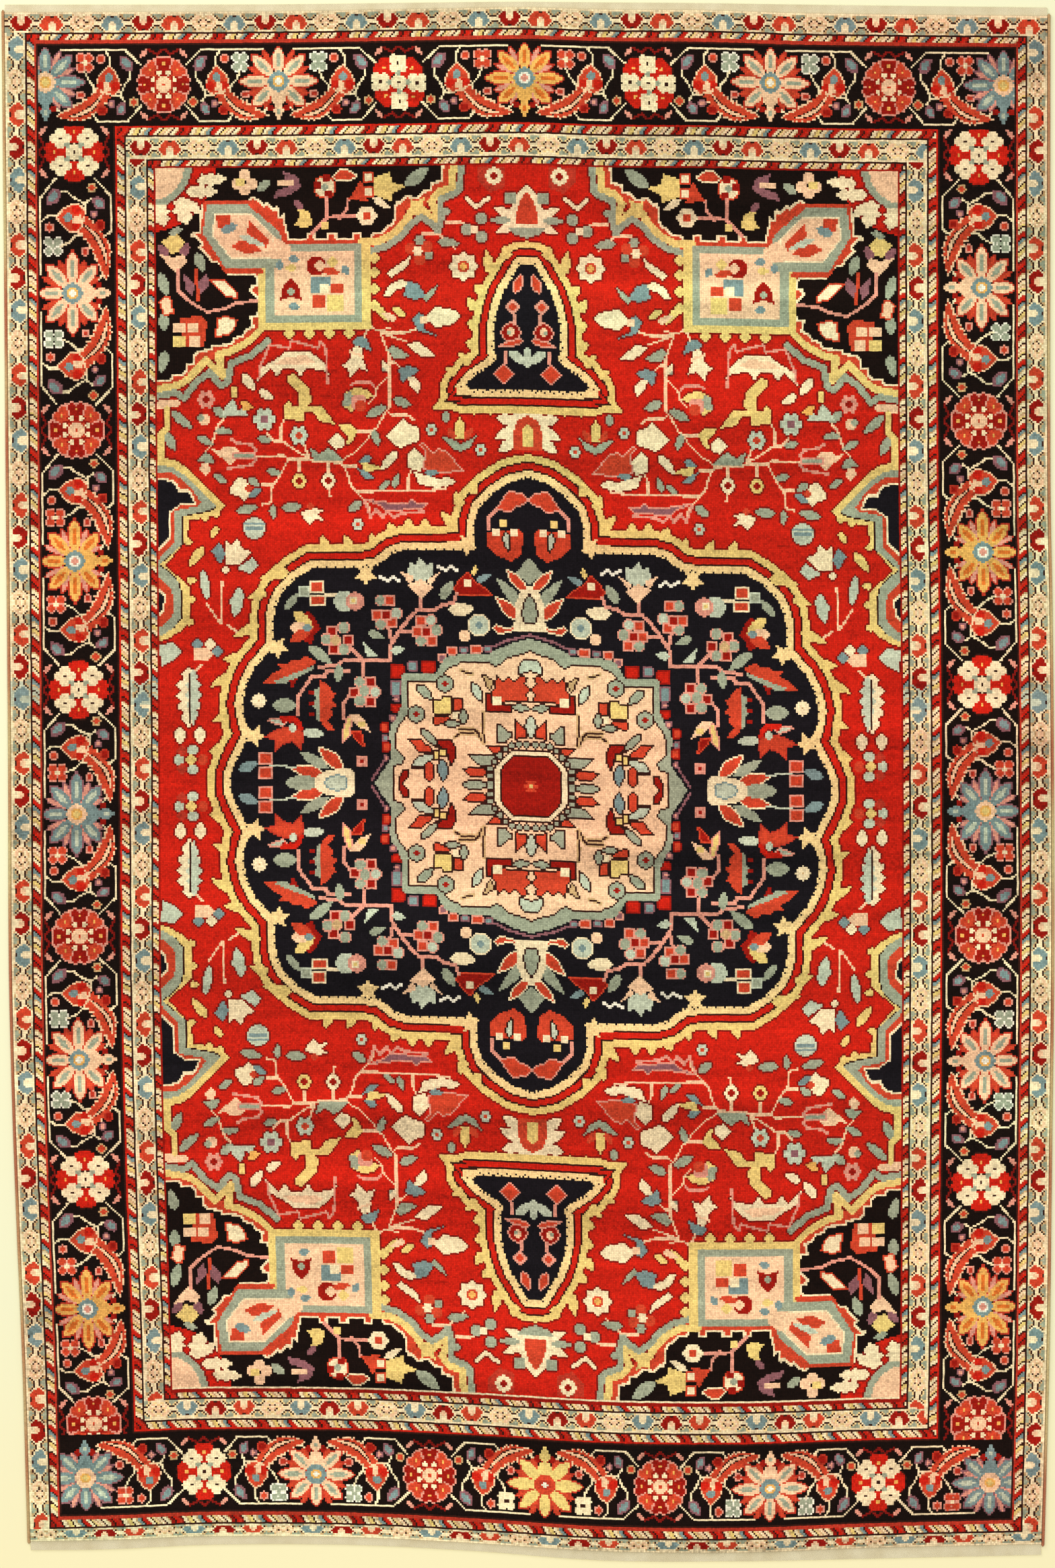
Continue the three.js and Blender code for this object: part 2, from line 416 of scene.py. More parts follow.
# %% Leaves and blossoms
for colour, places in {
    "sage": [((80, 230), (77, 227), 4), ((74, 212), (64, 208), 5), ((78, 208), (89, 202), 5),
    ((85, 195), (82, 186), 4), ((92, 156), (99, 150), 5), ((149, 191), (141, 189), 4),
    ((144, 173), (136, 171), 4), ((161, 150), (149, 153), 5), ((141, 154), (140, 146), 4),
    ((136, 152), (124, 153), 5), ((173, 171), (166, 166), 4), ((172, 195), (162, 194), 4),
    ((182, 192), (173, 187), 4), ((173, 208), (166, 202), 5), ((196, 206), (185, 196), 5),
    ((200, 195), (194, 184), 5), ((49, 298), (37, 296), 5), ((45, 205), (45, 199), 5),
    ((82, 162), (76, 167), 3.5), ((74, 163), (71, 171), 3.5)],
    "cream": [((72, 183), (81, 173), 5), ((157, 226), (150, 217), 5), ((148, 217), (140, 212), 5),
    ((193, 31), (193, 22), 6), ((182, 31), (182, 22), 6), ((80, 233), (76, 226), 3)],
    "gold": [((179, 131), (187, 120), 5), ((171, 142), (175, 136), 4), ((84, 264), (76, 254), 4),
    ((67, 257), (74, 262), 4)],
    "sky": [((180, 118), (177, 101), 5)], "peach": [((72, 255), (80, 259), 4)]
}.items():
    for base, tip, width in places:
        pen.leaf(colour, base, tip, width)
for colour, points in [
    ("cream", [(66, 242), (60, 243), (56, 240), (51, 235), (58, 235), (64, 239)]),
    ("sage", [(77, 239), (74, 241), (70, 239), (64, 235), (70, 234), (74, 234)]),
    ("slate", [(71, 228), (66, 230), (60, 228), (62, 225), (66, 224), (69, 220)]),
    ("cream", [(66, 224), (63, 224), (59, 220), (60, 215), (65, 219)]),
    ("slate", [(97, 243), (93, 246), (88, 245), (86, 238), (90, 240), (95, 241)]),
    ("cream", [(95, 241), (91, 240), (91, 234), (88, 227), (93, 229), (96, 226), (98, 224),
    (99, 229), (103, 230), (98, 233)]),
    ("gold", [(101, 215), (95, 218), (88, 217), (85, 213), (90, 212), (92, 207), (97, 205),
    (102, 208)]),
    ("sage", [(101, 215), (97, 216), (95, 209), (102, 208)]),
    ("gold", [(104, 198), (97, 198), (94, 194), (97, 188), (100, 187), (99, 191), (102, 194)]),
    ("cream", [(105, 193), (101, 190), (101, 186), (106, 184), (110, 189)]),
    ("cream", [(69, 201), (73, 197), (78, 192), (74, 187), (70, 185), (66, 187), (60, 189),
    (60, 196), (65, 198)]),
    ("sage", [(120, 185), (115, 182), (110, 185), (106, 183), (102, 178), (118, 178.5)]),
    ("slate", [(94, 177), (89, 181), (86, 180), (88, 176)]),
    ("slate", [(94, 174), (90, 168), (85, 168), (89, 172)]),
    ("gold", [(92, 177), (85, 176), (80, 173), (90, 172)]),
    ("cream", [(63, 185), (66, 181), (66, 174), (59, 172), (57, 179)]),
    ("cream", [(63, 172), (60, 165), (50, 163), (39, 166), (44, 169), (50, 168), (56, 170)]),
    ("sky", [(169, 203), (166, 209), (162, 212), (159, 205), (157, 208), (154, 203)]),
    ("amber", [(158, 211), (155, 211), (150, 207), (157, 206)]),
    ("gold", [(163, 219), (160, 219), (160, 213), (163, 213)]),
    ("cream", [(79, 268), (76, 274), (70, 277), (66, 276), (62, 273), (59, 269), (66, 273),
    (72, 272), (76, 268)]),
    ("slate", [(66, 276), (60, 275), (56, 268), (62, 266), (68, 268)]),
    ("sage", [(57, 267), (54, 271), (49, 274), (52, 268), (56, 265)]),
    ("slate", [(63, 255), (60, 259), (56, 257), (57, 250), (49, 246), (60, 249)]),
    ("cream", [(57, 256), (50, 262), (40, 260), (37, 257), (40, 253), (50, 251)]),
    ("cream", [(64, 290), (68, 287), (77, 281), (75, 278), (66, 284)]),
    ("sky", [(165, 101), (160, 109), (157, 104), (159, 95), (163, 92)])
]:
    pen.area(colour, points)
for colour, points in [
    ("coral", [(58, 189), (60, 186), (57, 183), (58, 173), (50, 171), (35, 172), (40, 178),
    (44, 183), (50, 185), (52, 182)]),
    ("mauve", [(91, 157), (80, 156), (77, 155), (66, 155), (64, 158), (62, 155), (55, 155),
    (57, 152), (60, 151), (78, 150), (82, 153), (87, 155)])
]:
    pen.area(colour, points, "pink")
pen.line("pink", 1.3, [(90, 155), (87, 147), (84, 151), (80, 147), (78, 150), (74, 147), (70, 149),
    (58, 150)])
pen.leaf("slate", (57, 171), (49, 172), 4)
pen.disc("pink", 93, 210, 4.5)
pen.disc("coral", 92, 208, 3.2)
pen.line("pink", 1.2, [(98, 219), (95, 221), (86, 221), (84, 218)])
pen.line("peach", 1.2, [(90, 235), (98, 238)])
for x, y, r, petal, heart in [
    (145, 201, 6.5, "sky", "mauve"), (126, 192, 5.5, "sky", "coral"),
    (177, 212, 5.5, "pink", "crimson"), (126, 167, 4.5, "gold", "crimson"),
    (110, 167, 4.5, "cream", "crimson"), (26, 184, 3, "sky", "coral"),
    (53, 195, 3, "sky", "coral"), (94, 143, 3, "sky", "coral")
]:
    pen.rosette(x, y, r, petal, heart, count=6)
pen.rosette(35, 284, 8.5, "cream", "coral", count=8, eye="amber")
pen.disc("sky", 151, 141, 6)
for y in (143.5, 141):
    pen.line("slate", 1, [(146, y), (156, y)])
pen.area("cream", [(126, 149), (120, 152), (112, 151), (116, 149), (113, 145), (118, 146),
    (121, 143), (124, 147)])
pen.disc("coral", 120, 153, 1.6)
pen.area("cream", [(164, 163), (160, 169), (155, 168), (153, 160), (157, 156), (160, 159),
    (164, 160)])
pen.leaf("sage", (154, 169), (148, 164), 4)
pen.leaf("slate", (154, 158), (147, 163), 4)
pen.disc("coral", 154, 163, 2)
quarter.report("leaves and blossoms")

# %% Crescent, stag, carnation and tulips
pen.area("cream", [(147, 229), (140, 233), (133, 238), (121, 238.5), (115, 235), (111, 230),
    (109, 225), (113, 228), (122, 229), (125, 224.5), (128, 229), (135, 229), (138, 224),
    (141, 229), (149, 222)])
pen.area("peach", [(140, 231), (133, 235), (122, 236), (116, 232), (124, 231), (134, 231)])
pen.line("pink", 1.2, [(148, 223), (147, 230), (144, 237), (142, 242), (131, 240), (130, 244),
    (122, 242), (115, 240), (114, 244), (111, 240), (110, 220)])
pen.area("gold", [(132, 225), (129, 226), (120, 217), (119, 210), (122, 208), (113, 208),
    (106, 198), (115, 200), (118, 205), (123, 205), (123, 200), (134, 201), (134, 209), (131, 212),
    (130, 208), (126, 208), (126, 216), (132, 221)])
pen.area("peach", [(174, 185), (170, 184), (167, 186), (162, 186), (159, 183), (162, 177),
    (165, 176), (167, 179), (171, 181)])
pen.block("sage", 150, 163, 179.5, 183.5, "pink")
pen.line("pink", 1.4, [(163, 190), (160, 188), (152, 187), (150, 184)])
pen.line("pink", 1.4, [(165, 174), (158, 175), (152, 176), (150, 179)])
pen.area("sage", [(183, 178), (178, 183), (174, 181), (173, 177)])
pen.area("peach", [(180, 177), (176, 177), (175, 173), (178, 170), (181, 173)])
pen.disc("peach", 178, 201, 3)
pen.disc("sage", 180, 202, 2)
quarter.report("crescent, stag, carnation and tulips")

# %% [markdown]
# At each side a half medallion grows out of the border. It is drawn from the outside
# in, each band over the one before, and runs past the quarter's edge, where it is cut
# off.

# %% The half medallion at the side
pen.line("peach", 4, [(210, 209), (193, 210)])
pen.line("gold", 3.4, [(210, 180), (202, 181), (202, 193), (198.5, 197), (198.5, 207)])
pen.area("gold", [(240, 79), (203, 79), (198, 81), (190, 86), (187, 90), (187, 108), (190, 112),
    (197, 117), (200, 121), (193, 130), (188, 135), (187, 145.5), (178, 147), (171, 150),
    (167, 154), (172, 158), (178, 164), (184, 170), (190, 176), (195, 179), (202, 180),
    (240, 180)])
pen.line("brown", 0.8, [(240, 82.5), (203, 82.5), (196, 86.5), (191.5, 92), (191.5, 105),
    (193, 111), (198, 117), (204, 121), (197, 127), (190.5, 133), (190.5, 148), (176, 150.5),
    (172, 153)])
thorns(pen, "gold", [((188, 112), (183, 113)), ((188, 102), (184, 102)), ((188, 90), (185, 88)),
    ((189, 134), (185, 133)), ((178, 148), (177, 145)), ((172, 150), (172, 147))], width=4)
pen.area("sage", [(240, 82), (203, 82), (196, 86), (192, 92), (192, 105), (193, 111), (198, 117),
    (204, 121), (197, 127), (191, 133), (191, 148), (185, 149), (176, 151), (172, 153), (174, 155),
    (179, 160), (184, 166), (190, 171), (196, 175), (203, 176), (240, 176)])
pen.area("coral", [(240, 87), (203, 87), (199, 90), (196, 95), (196, 104), (198, 109), (204, 114),
    (206, 121), (201, 128), (195, 134), (195, 151), (182, 153.5), (180, 155), (184, 161),
    (190, 168), (197, 172), (240, 172)])
pen.area("cream", [(240, 92), (204, 92), (201, 96), (200, 104), (207, 112), (207, 123), (203, 130),
    (197, 135), (197, 150), (192, 153.5), (183, 154.5), (184, 158), (187, 163), (192, 163),
    (194, 167), (199, 169), (240, 171)])
pen.area("navy", [(240, 93), (205, 93), (202, 97), (201, 103), (208, 112), (208, 124), (204, 131),
    (198, 136), (198, 150.5), (192, 154.5), (184.5, 155.5), (187, 161), (193, 161.5), (195, 166),
    (199, 167.5), (240, 170)])
pen.area("cream", [(167, 134), (164, 132), (160, 135), (158, 130), (153, 128), (155, 125),
    (160, 121), (167, 121)])
pen.area("slate", [(175, 129), (170, 133), (167, 127), (170, 121)])
pen.area("sky", [(161, 119), (152, 125), (149, 120), (154, 116)])
pen.disc("cream", 167, 118, 2)
for colour, x, y in [("slate", 183, 77), ("cream", 176, 77), ("slate", 172, 73)]:
    pen.disc(colour, x, y, 2.6)
pen.area("peach", [(185, 75), (178, 75), (174, 72), (178, 68), (185, 68)])
pen.area("sky", [(204, 77), (196, 78), (192, 73), (195, 69), (203, 65)])
pen.leaf("cream", (188, 64), (188, 30), 15, teeth=5)
pen.leaf("sky", (185.5, 63), (185.5, 32), 9, teeth=5)
pen.line("brown", 0.9, [(187.5, 60), (187.5, 34)])
cross = [("sky", 193.5, 13), ("sky", 186, 18.5), ("sky", 186, 7.5), ("gold", 187, 13),
    ("coral", 180.5, 13), ("rust", 192, 8), ("rust", 192, 18)]
for colour, x, y in cross:
    pen.disc(colour, x, y, 2.7)
quarter.report("the half medallion at the side")

# %% Motifs on the centre line
pen.area("cream", [(-10, 329), (0, 329), (6, 322), (9, 315), (10, 308), (10, 305), (0, 300),
    (-10, 300)])
pen.area("coral", [(-10, 325), (0, 325), (4, 319), (6, 312), (6, 307), (-10, 306)])
pen.leaf("cream", (6, 310), (18, 316), 5)
pen.leaf("cream", (6, 307), (17, 302), 5)
pen.leaf("sage", (8, 309), (21, 309), 4)
pen.block("sage", 6, 12, 318, 324)
pen.area("sage", [(-6, 305), (10, 305), (8, 302), (0, 299), (-6, 299)])
pen.area("rust", [(12, 338), (27, 338), (27, 330), (20, 324), (12, 327)])
pen.rosette(18, 333, 5, "cream", "crimson", count=4)
pen.line("cream", 2, [(33, 321), (28, 316), (21, 321)])
for x, y in [(33, 304), (25, 310), (25, 300)]:
    pen.disc("sage", x, y, 3)
pen.disc("cream", 29, 304, 2.2)
pen.disc("coral", 64, 294, 3)
pen.disc("coral", 55, 295, 3)
pen.disc("coral", 59, 288, 3)
pen.disc("sage", 59, 298.5, 2.5)
pen.disc("sage", 54, 290, 2.5)
pen.disc("cream", 60, 292.5, 2.5)
pen.disc("peach", 57, 255, 2.5)
for base, tip in [((7, 196), (18, 190)), ((8, 200), (17, 202)), ((7, 190), (16, 183))]:
    pen.leaf("cream", base, tip, 6)
pen.area("cream", [(-10, 207), (0, 207), (9, 203), (12, 195), (11, 185), (-10, 184)])
pen.area("coral", [(-8, 203), (0, 203), (6, 200), (8, 193), (8, 184), (-8, 184)])
pen.area("gold", [(-4, 198), (0, 198), (3.5, 195), (3.5, 186), (-4, 186)])
pen.area("sage", [(47, 191), (42, 185), (37, 183), (32, 185.5), (28, 192), (33, 189), (37, 187),
    (42, 190)])
pen.area("gold", [(40, 190), (40.5, 197), (37.5, 202), (34.5, 197), (35, 190)])
pen.leaf("coral", (40, 190), (44, 196), 4)
pen.leaf("coral", (35, 190), (30, 196), 4)
quarter.report("motifs on the centre line")

# %% [markdown]
# ### The corners
#
# A navy corner with a stepped edge is set off by a cream and a coral line, then by sage
# and gold ribbons. A square and an eight-sided cartouche in peach overlap it.

# %% The corner and its ribbons
edge = [(46, 345), (47, 335), (47.5, 331), (52.5, 330), (53, 326), (57.5, 325.5), (60, 322),
    (66, 323), (70, 319.5), (72, 320), (73, 316), (73, 311.5), (74, 308), (77.5, 306), (80, 303),
    (85, 303), (86.5, 300.5)]
for x0, x1 in [(91, 96), (104.5, 110), (116.5, 121.5)]:
    edge += [(x0, 300.5), (x0, 303), (x1, 303), (x1, 300.5)]
edge += [(130.5, 300), (132.5, 308), (133.5, 314), (135.5, 312), (137, 319), (139, 316),
    (143, 320.5), (144.5, 318.5), (148, 322), (151, 323.5), (153, 321.5), (176, 321.5),
    (178.5, 320), (179.5, 316), (180, 304), (184.5, 303.5), (185, 301.5), (181, 300), (179, 297.5),
    (181, 295.5), (178, 293), (175, 289), (174, 287), (170, 286.5), (167, 282.5), (165, 280.5),
    (150, 280), (148.5, 278), (149, 275), (152, 274.5), (153, 271.5), (150, 269), (148.5, 267),
    (148, 262), (149, 258.5), (153, 258), (151.5, 252), (155.5, 250.5), (157, 247.5), (161.5, 246),
    (163, 243), (174, 242), (174, 240), (182, 239), (184, 236), (184, 232), (188, 232), (188, 229),
    (190, 226), (196, 226), (197, 223), (240, 222.5), (240, 345)]
pen.band("coral", edge, 1, 6)
pen.band("cream", edge, 0, 1.3)
pen.area("soot", edge)
pen.line("gold", 4, [(91, 297.5), (80, 298.5), (72, 303), (66, 310), (63, 315), (58, 316),
    (53, 311), (49.5, 306.5), (50, 314), (52.5, 319.5), (48, 324.5), (41, 327), (40, 345)])
star(pen, "gold", 60, 316, 7, first=50)
pen.line("sage", 3.5, [(89, 292.5), (78, 295), (70, 300), (63, 308), (58, 311), (53, 308),
    (49, 303.5), (47, 310), (47.5, 318), (47, 321), (40, 323.5), (37, 326), (35.5, 345)])
pen.leaf("sage", (48, 314), (41, 314), 4)
pen.line("gold", 4, [(147, 250), (152, 245), (158, 241), (165, 238), (170, 237), (168, 225),
    (172, 229), (177, 234), (186, 224), (192, 220), (200, 218.5), (215, 217.5)])
pen.line("sage", 3.5, [(143, 244), (152, 236), (163, 232), (165, 222), (168.5, 219.5), (175, 227),
    (182, 222), (186, 217), (189, 213), (194, 216), (215, 212)])
thorns(pen, "gold", [((86, 289), (81, 289)), ((86, 281), (81, 281)), ((86, 272), (81, 272)),
    ((86, 263), (81, 263)), ((98, 250), (98, 245)), ((109, 250), (109, 245)),
    ((120, 250), (120, 245)), ((131, 250), (131, 245))], width=7)
for colour, x0, x1, y0, y1 in [
    ("gold", 86, 148, 250, 297), ("sage", 91, 144, 254.5, 297.5),
    ("peach", 95, 139.5, 258.5, 293.5)
]:
    pen.block(colour, x0, x1, y0, y1)
quarter.report("the corner and its ribbons")

# %% The cartouches
rim = [(176, 319), (154, 319), (136, 304), (134, 297), (136, 284), (166, 284), (178, 303)]
pen.area("coral", [(178, 321), (153, 321), (140, 313), (133, 304), (131, 296), (146, 284),
    (145, 281), (166, 281), (179, 302)])
pen.area("sage", rim)
pen.area("peach", [(172, 314.5), (152, 314.5), (139, 301.5), (138.5, 289), (163, 289), (173, 302)],
    "cream")
pen.area("peach", [(139, 301), (130, 296), (130, 290), (141, 289)])
for colour, points in [
    ("coral", [(171, 313), (163, 313), (163, 306), (170, 306)]),
    ("coral", [(153, 310), (142, 299), (143, 295), (147, 298), (154, 303)]),
    ("coral", [(163, 296), (158, 299), (152, 299), (146, 293), (155, 292)])
]:
    pen.area(colour, points)
pen.leaf("slate", (168, 304), (159, 308), 5)
pen.leaf("sky", (158, 302), (144, 296), 4)
pen.disc("crimson", 116, 285, 5.4)
pen.disc("peach", 114, 285, 2.8)
pen.disc("gold", 107, 287, 2.6)
pen.area("slate", [(119, 279), (108, 279), (108, 274), (114, 274), (114, 270), (119, 270)])
pen.block("cream", 109, 114, 270, 275)
pen.block("coral", 101, 108, 270, 275)
pen.block("gold", 101, 110, 260, 269)
pen.block("coral", 111, 118, 262, 269)
pen.area("crimson", [(124, 266), (126, 275), (130, 278), (134, 275), (136, 266), (131, 268),
    (129, 268)])
pen.disc("sage", 130, 271, 2)
for colour, base, tip in [
    ("slate", (131, 290), (125, 288)), ("slate", (136, 283), (136, 288)),
    ("slate", (102, 285), (98, 280)), ("coral", (113, 283), (103, 281)),
    ("slate", (131, 264), (125, 262)), ("gold", (127, 284), (133, 284))
]:
    pen.leaf(colour, base, tip, 4)
quarter.report("the cartouches")

# %% The sun in the extreme corner
for colour, radius in [("red", 37), ("sage", 24), ("peach", 20)]:
    pen.disc(colour, 208, 341, radius)
for base, tip, width in [
    ((164, 333), (181, 332), 9), ((169, 326), (187, 326), 9), ((187, 307), (190, 323), 13),
    ((199, 307), (203, 319), 12), ((179, 314), (186, 320), 6)
]:
    pen.leaf("cream", tip, base, width, teeth=3, belly=0.7)
quarter.report("the sun in the extreme corner")

# %% Flowers on the corner
pen.area("gold", [(201, 299), (196, 302), (193, 303), (188, 299), (190, 294), (196, 292)])
pen.leaf("mauve", (197, 291), (203, 297), 5)
pen.leaf("mauve", (190, 291), (186, 298), 5)
pen.area("peach", [(202, 292), (197, 285), (193, 282), (187, 288), (189, 292), (194, 290)])
pen.leaf("sage", (197, 303), (189, 306), 4)
for colour, width, points in [
    ("pink", 1.5, [(192, 283), (192, 272), (187, 267), (181, 263), (176, 260), (166, 262),
    (160, 265), (149, 266)]),
    ("coral", 1.8, [(182, 283), (181, 267)])
]:
    pen.line(colour, width, points)
for base, tip in [
    ((202, 282), (198, 269)), ((182, 293), (178, 282)), ((200, 260), (200, 249)),
    ((199, 239), (202, 227))
]:
    pen.leaf("sage", base, tip, 6)
pen.area("mauve", [(189, 281), (183, 276), (184, 268), (188, 272)])
pen.area("mauve", [(176, 282), (181, 277), (180, 269), (175, 275)])
pen.area("cream", [(175, 278), (167, 278), (159, 271), (159, 267), (166, 268)], "coral")
pen.area("peach", [(203, 266), (199, 269), (196, 269), (194, 259), (200, 258)], "coral")
pen.area("coral", [(191, 257), (180, 258), (176, 254), (178, 241), (190, 241)])
for colour, x0, x1, y0, y1 in [
    ("peach", 188, 195, 249, 254), ("peach", 181, 187, 249.5, 254), ("gold", 188, 195, 241, 247.5),
    ("peach", 180, 186, 241, 247.5)
]:
    pen.block(colour, x0, x1, y0, y1)
pen.area("cream", [(171, 257), (166, 258), (159, 256), (161, 251), (165, 247), (172, 246)],
    "coral")
for dx, dy in [(0, 4), (-4, -1), (4, -1), (0, -4)]:
    pen.disc("peach", 155 + dx, 331 + dy, 3.2)
pen.block("gold", 155, 160, 329, 333)
pen.leaf("sage", (148, 326), (141, 332), 5)
pen.area("mauve", [(134, 337), (126, 334), (124, 328), (130, 324), (139, 322), (138, 326),
    (130, 329), (133, 333)])
pen.block("peach", 128, 137, 329, 332)
pen.disc("cream", 111, 328, 6.5, "coral")
for x, y in [(115, 329), (110, 333), (109, 324)]:
    pen.block("crimson", x - 2, x + 2, y - 2, y + 2)
pen.disc("sage", 111, 328, 1.8)
pen.area("coral", [(107, 333), (103, 338), (99, 338), (92, 334), (97, 331), (105, 331)], "cream")
for points in [
    [(110, 322), (110, 311), (114, 307), (118, 303)], [(110, 311), (106, 312), (93, 312)],
    [(98, 321), (99, 316), (103, 311)]
]:
    pen.line("pink", 1.4, points)
pen.disc("gold", 111, 307, 2.4)
pen.area("gold", [(128, 307), (125, 312), (126, 317), (119, 314), (118, 307), (123, 306)])
pen.leaf("mauve", (128, 321), (123, 316), 4)
pen.rosette(88, 312, 6, "cream", "coral", count=6)
pen.area("coral", [(98, 321), (91, 332), (90, 328), (87, 320)])
pen.block("cream", 84, 90, 330, 336, "coral")
pen.block("cream", 84, 90, 322, 328, "coral")
pen.area("gold", [(84, 333), (75, 336), (74, 330), (66, 328), (74, 324), (74, 320), (84, 323)])
pen.leaf("cream", (85, 322), (75, 316), 4)
pen.leaf("sage", (67, 328), (54, 338), 7)
quarter.report("flowers on the corner")

# %% [markdown]
# ### The pendant
#
# Beyond each end of the medallion hangs a navy pendant with a pointed foot. Its ribbon
# comes from the band stroke, and the foot's two points are small areas laid in the same
# order of colours, once before the ribbon and once after it.

# %% The pendant
PENDANT = [(-20, 287), (4, 285), (8, 278), (13, 270), (16, 262), (18, 252), (18.5, 240), (17, 234),
    (22, 229), (30, 224), (36, 217), (36, 216.5), (-20, 216.5)]
ribbon(pen, PENDANT, "navy", inner=4, red=4, outer=3.6)
for colour, x, y in [
    ("gold", 52.5, 206.5), ("brown", 46.2, 210), ("red", 45, 210.6), ("brown", 40.8, 213.2),
    ("wheat", 40, 213.8)
]:
    pen.area(colour, [(x, y), (x - 10, y), (x - 5.5, y + 7)])
thorns(pen, "gold", [((20, 280), (22.5, 293)), ((10, 288), (13, 295)), ((25, 270), (29, 274)),
    ((28, 260), (33, 267)), ((28, 251), (33, 254)), ((28, 241), (34, 243)), ((31, 231), (38, 237)),
    ((39, 225), (45, 229)), ((29, 208), (30, 203)), ((20, 208), (21, 203))])
pen.leaf("coral", (7, 269), (3, 280), 6, "pink")
pen.petals("pink", 4, 8, 262, 4.5, 4)
pen.disc("coral", 8, 262, 1.6)
pen.disc("crimson", 9, 248, 5.6, "pink")
pen.disc("peach", 9, 248.5, 2.4)
pen.disc("sage", 10, 248, 1.2)
pen.leaf("coral", (1, 244), (17, 240), 4, "pink")
pen.line("pink", 1.2, [(7, 258), (7, 253)])
pen.line("pink", 1.2, [(12, 238), (12, 231)])
pen.leaf("sky", (10, 238), (1, 231), 5)
pen.area("coral", [(13, 231), (19, 225.5), (13, 220), (7, 225.5)], "pink")
pen.leaf("sky", (0, 240), (0, 228), 5)
quarter.report("the pendant")

# %% [markdown]
# ### The navy medallion
#
# The large medallion could be a circle with lobes, but on the loom its outline is a
# chain of short steps and curves, different from lobe to lobe, so it is a list of
# corners. Gold leaves spring from the ribbon like thorns.

# %% The medallion and its ribbon
MEDALLION = [(-20, 169), (2, 168.5), (10, 166.5), (20, 160), (27, 153), (29.5, 145), (30, 129.5),
    (68, 129), (75, 127), (84, 120), (94, 119), (119, 119), (127, 114), (133, 109), (137, 104),
    (140, 97), (141, 90), (141, 76), (146, 70), (152, 63), (156, 55), (158.5, 44), (157, 34),
    (154, 27), (158, 20), (162, 12), (165, 4), (165, -20), (-20, -20)]
ribbon(pen, MEDALLION, "navy")
thorns(pen, "gold", [((31, 160), (29, 168)), ((37, 152), (40, 161)), ((41, 142), (48, 150)),
    ((57, 140), (57, 146)), ((66, 140), (66, 146)), ((75, 138), (77, 144)), ((85, 131), (87, 138)),
    ((98, 130), (102, 137)), ((112, 130), (114, 137)), ((132, 117), (149, 113)),
    ((145, 106), (155, 102.5)), ((149, 88), (163, 81)), ((158, 70), (169, 68.5)),
    ((164, 60), (176, 53.5)), ((166, 38), (175, 34)), ((169, 20), (177, 17))])
for x, y, first in [(34, 132, 200), (90, 115, 270), (139, 75, 340), (152, 26, 330)]:
    star(pen, "wheat", x, y, 6.5, first=first)
quarter.report("the medallion and its ribbon")

# %% The lobe and the palmettes
pen.area("coral", [(19, 151), (14, 158), (11, 162), (3, 161), (0, 157), (3, 154), (8, 152),
    (9, 150)], "pink")
pen.line("pink", 1.3, [(18, 151), (22, 147), (22, 141)])
pen.area("coral", [(23, 139), (23, 131), (17, 126), (10, 123), (4, 127), (3, 138), (6, 141)])
for x, y, colour in [(18, 139, "cream"), (8, 139, "cream"), (14, 144, "gold")]:
    pen.block(colour, x - 2, x + 2, y - 2, y + 2)
pen.leaf("sky", (13, 140), (11, 128), 5, rim="brown")
pen.area("sage", [(-6, 126), (0, 126), (4, 121), (8, 117), (0, 111), (-6, 111)])
pen.leaf("coral", (1, 106), (13, 119), 6, "cream")
pen.leaf("sage", (3, 97), (18, 114), 6)
pen.leaf("coral", (4, 90), (19, 104), 7, "cream")
pen.area("cream", [(-9, 110), (0, 110), (5, 107), (8, 100), (8, 92), (10, 85), (-9, 85)])
pen.area("sage", [(-4, 107), (0, 107), (4, 100), (5, 94), (3, 89), (-4, 89)], "brown")
pen.area("crimson", [(42, 108), (38, 114), (34, 118), (30, 112), (23, 108), (20, 104), (39, 104)],
    "coral")
pen.leaf("gold", (31, 115), (29, 121), 3)
pen.disc("cream", 34, 111, 2.2)
pen.leaf("slate", (29, 112), (21, 116), 4)
pen.leaf("sage", (49, 102), (42, 112), 6)
pen.leaf("cream", (45, 96), (30, 97), 7)
pen.disc("sky", 28, 88, 6.2, "cream")
pen.disc("slate", 28, 88, 2)
pen.disc("peach", 36, 82, 3)
pen.area("coral", [(21, 87), (18, 83), (11, 84), (7, 88), (14, 87), (19, 89)], "cream")
for x, y in [(77, 113), (45, 119)]:
    pen.line("ivory", 1.6, [(x - 5, y - 1), (x - 2, y + 1), (x + 1, y - 1), (x + 5, y + 1)])
pen.leaf("coral", (114, 5), (132, 8), 8, "cream")
pen.leaf("sage", (111, 8), (127, 17), 6)
pen.leaf("coral", (103, 7), (117, 20), 8, "cream")
pen.leaf("sage", (117, 0), (136, 0), 9)
pen.area("cream", [(97, -9), (97, 6), (100, 8), (112, 7), (118, 4), (121, -5)])
pen.area("sky", [(101, -6), (101, 3), (106, 5), (113, 3), (115, -4)], "slate")
quarter.report("the lobe and the palmettes")

# %% [markdown]
# Each spray is a stem with clusters of berries: balls and squares by turns, all with a
# fine pale outline.

# %% Sprays on the navy ground
def berries(pen, spots):
    """A cluster of small balls and squares with fine pale outlines."""
    for colour, x, y in spots:
        if colour in ("sage", "slate", "sky", "tan"):
            pen.disc("pink", x, y, 3.4)
            pen.disc(colour, x, y, 2.7)
        else:
            pen.block(colour, x - 3, x + 3, y - 3, y + 3, "pink")


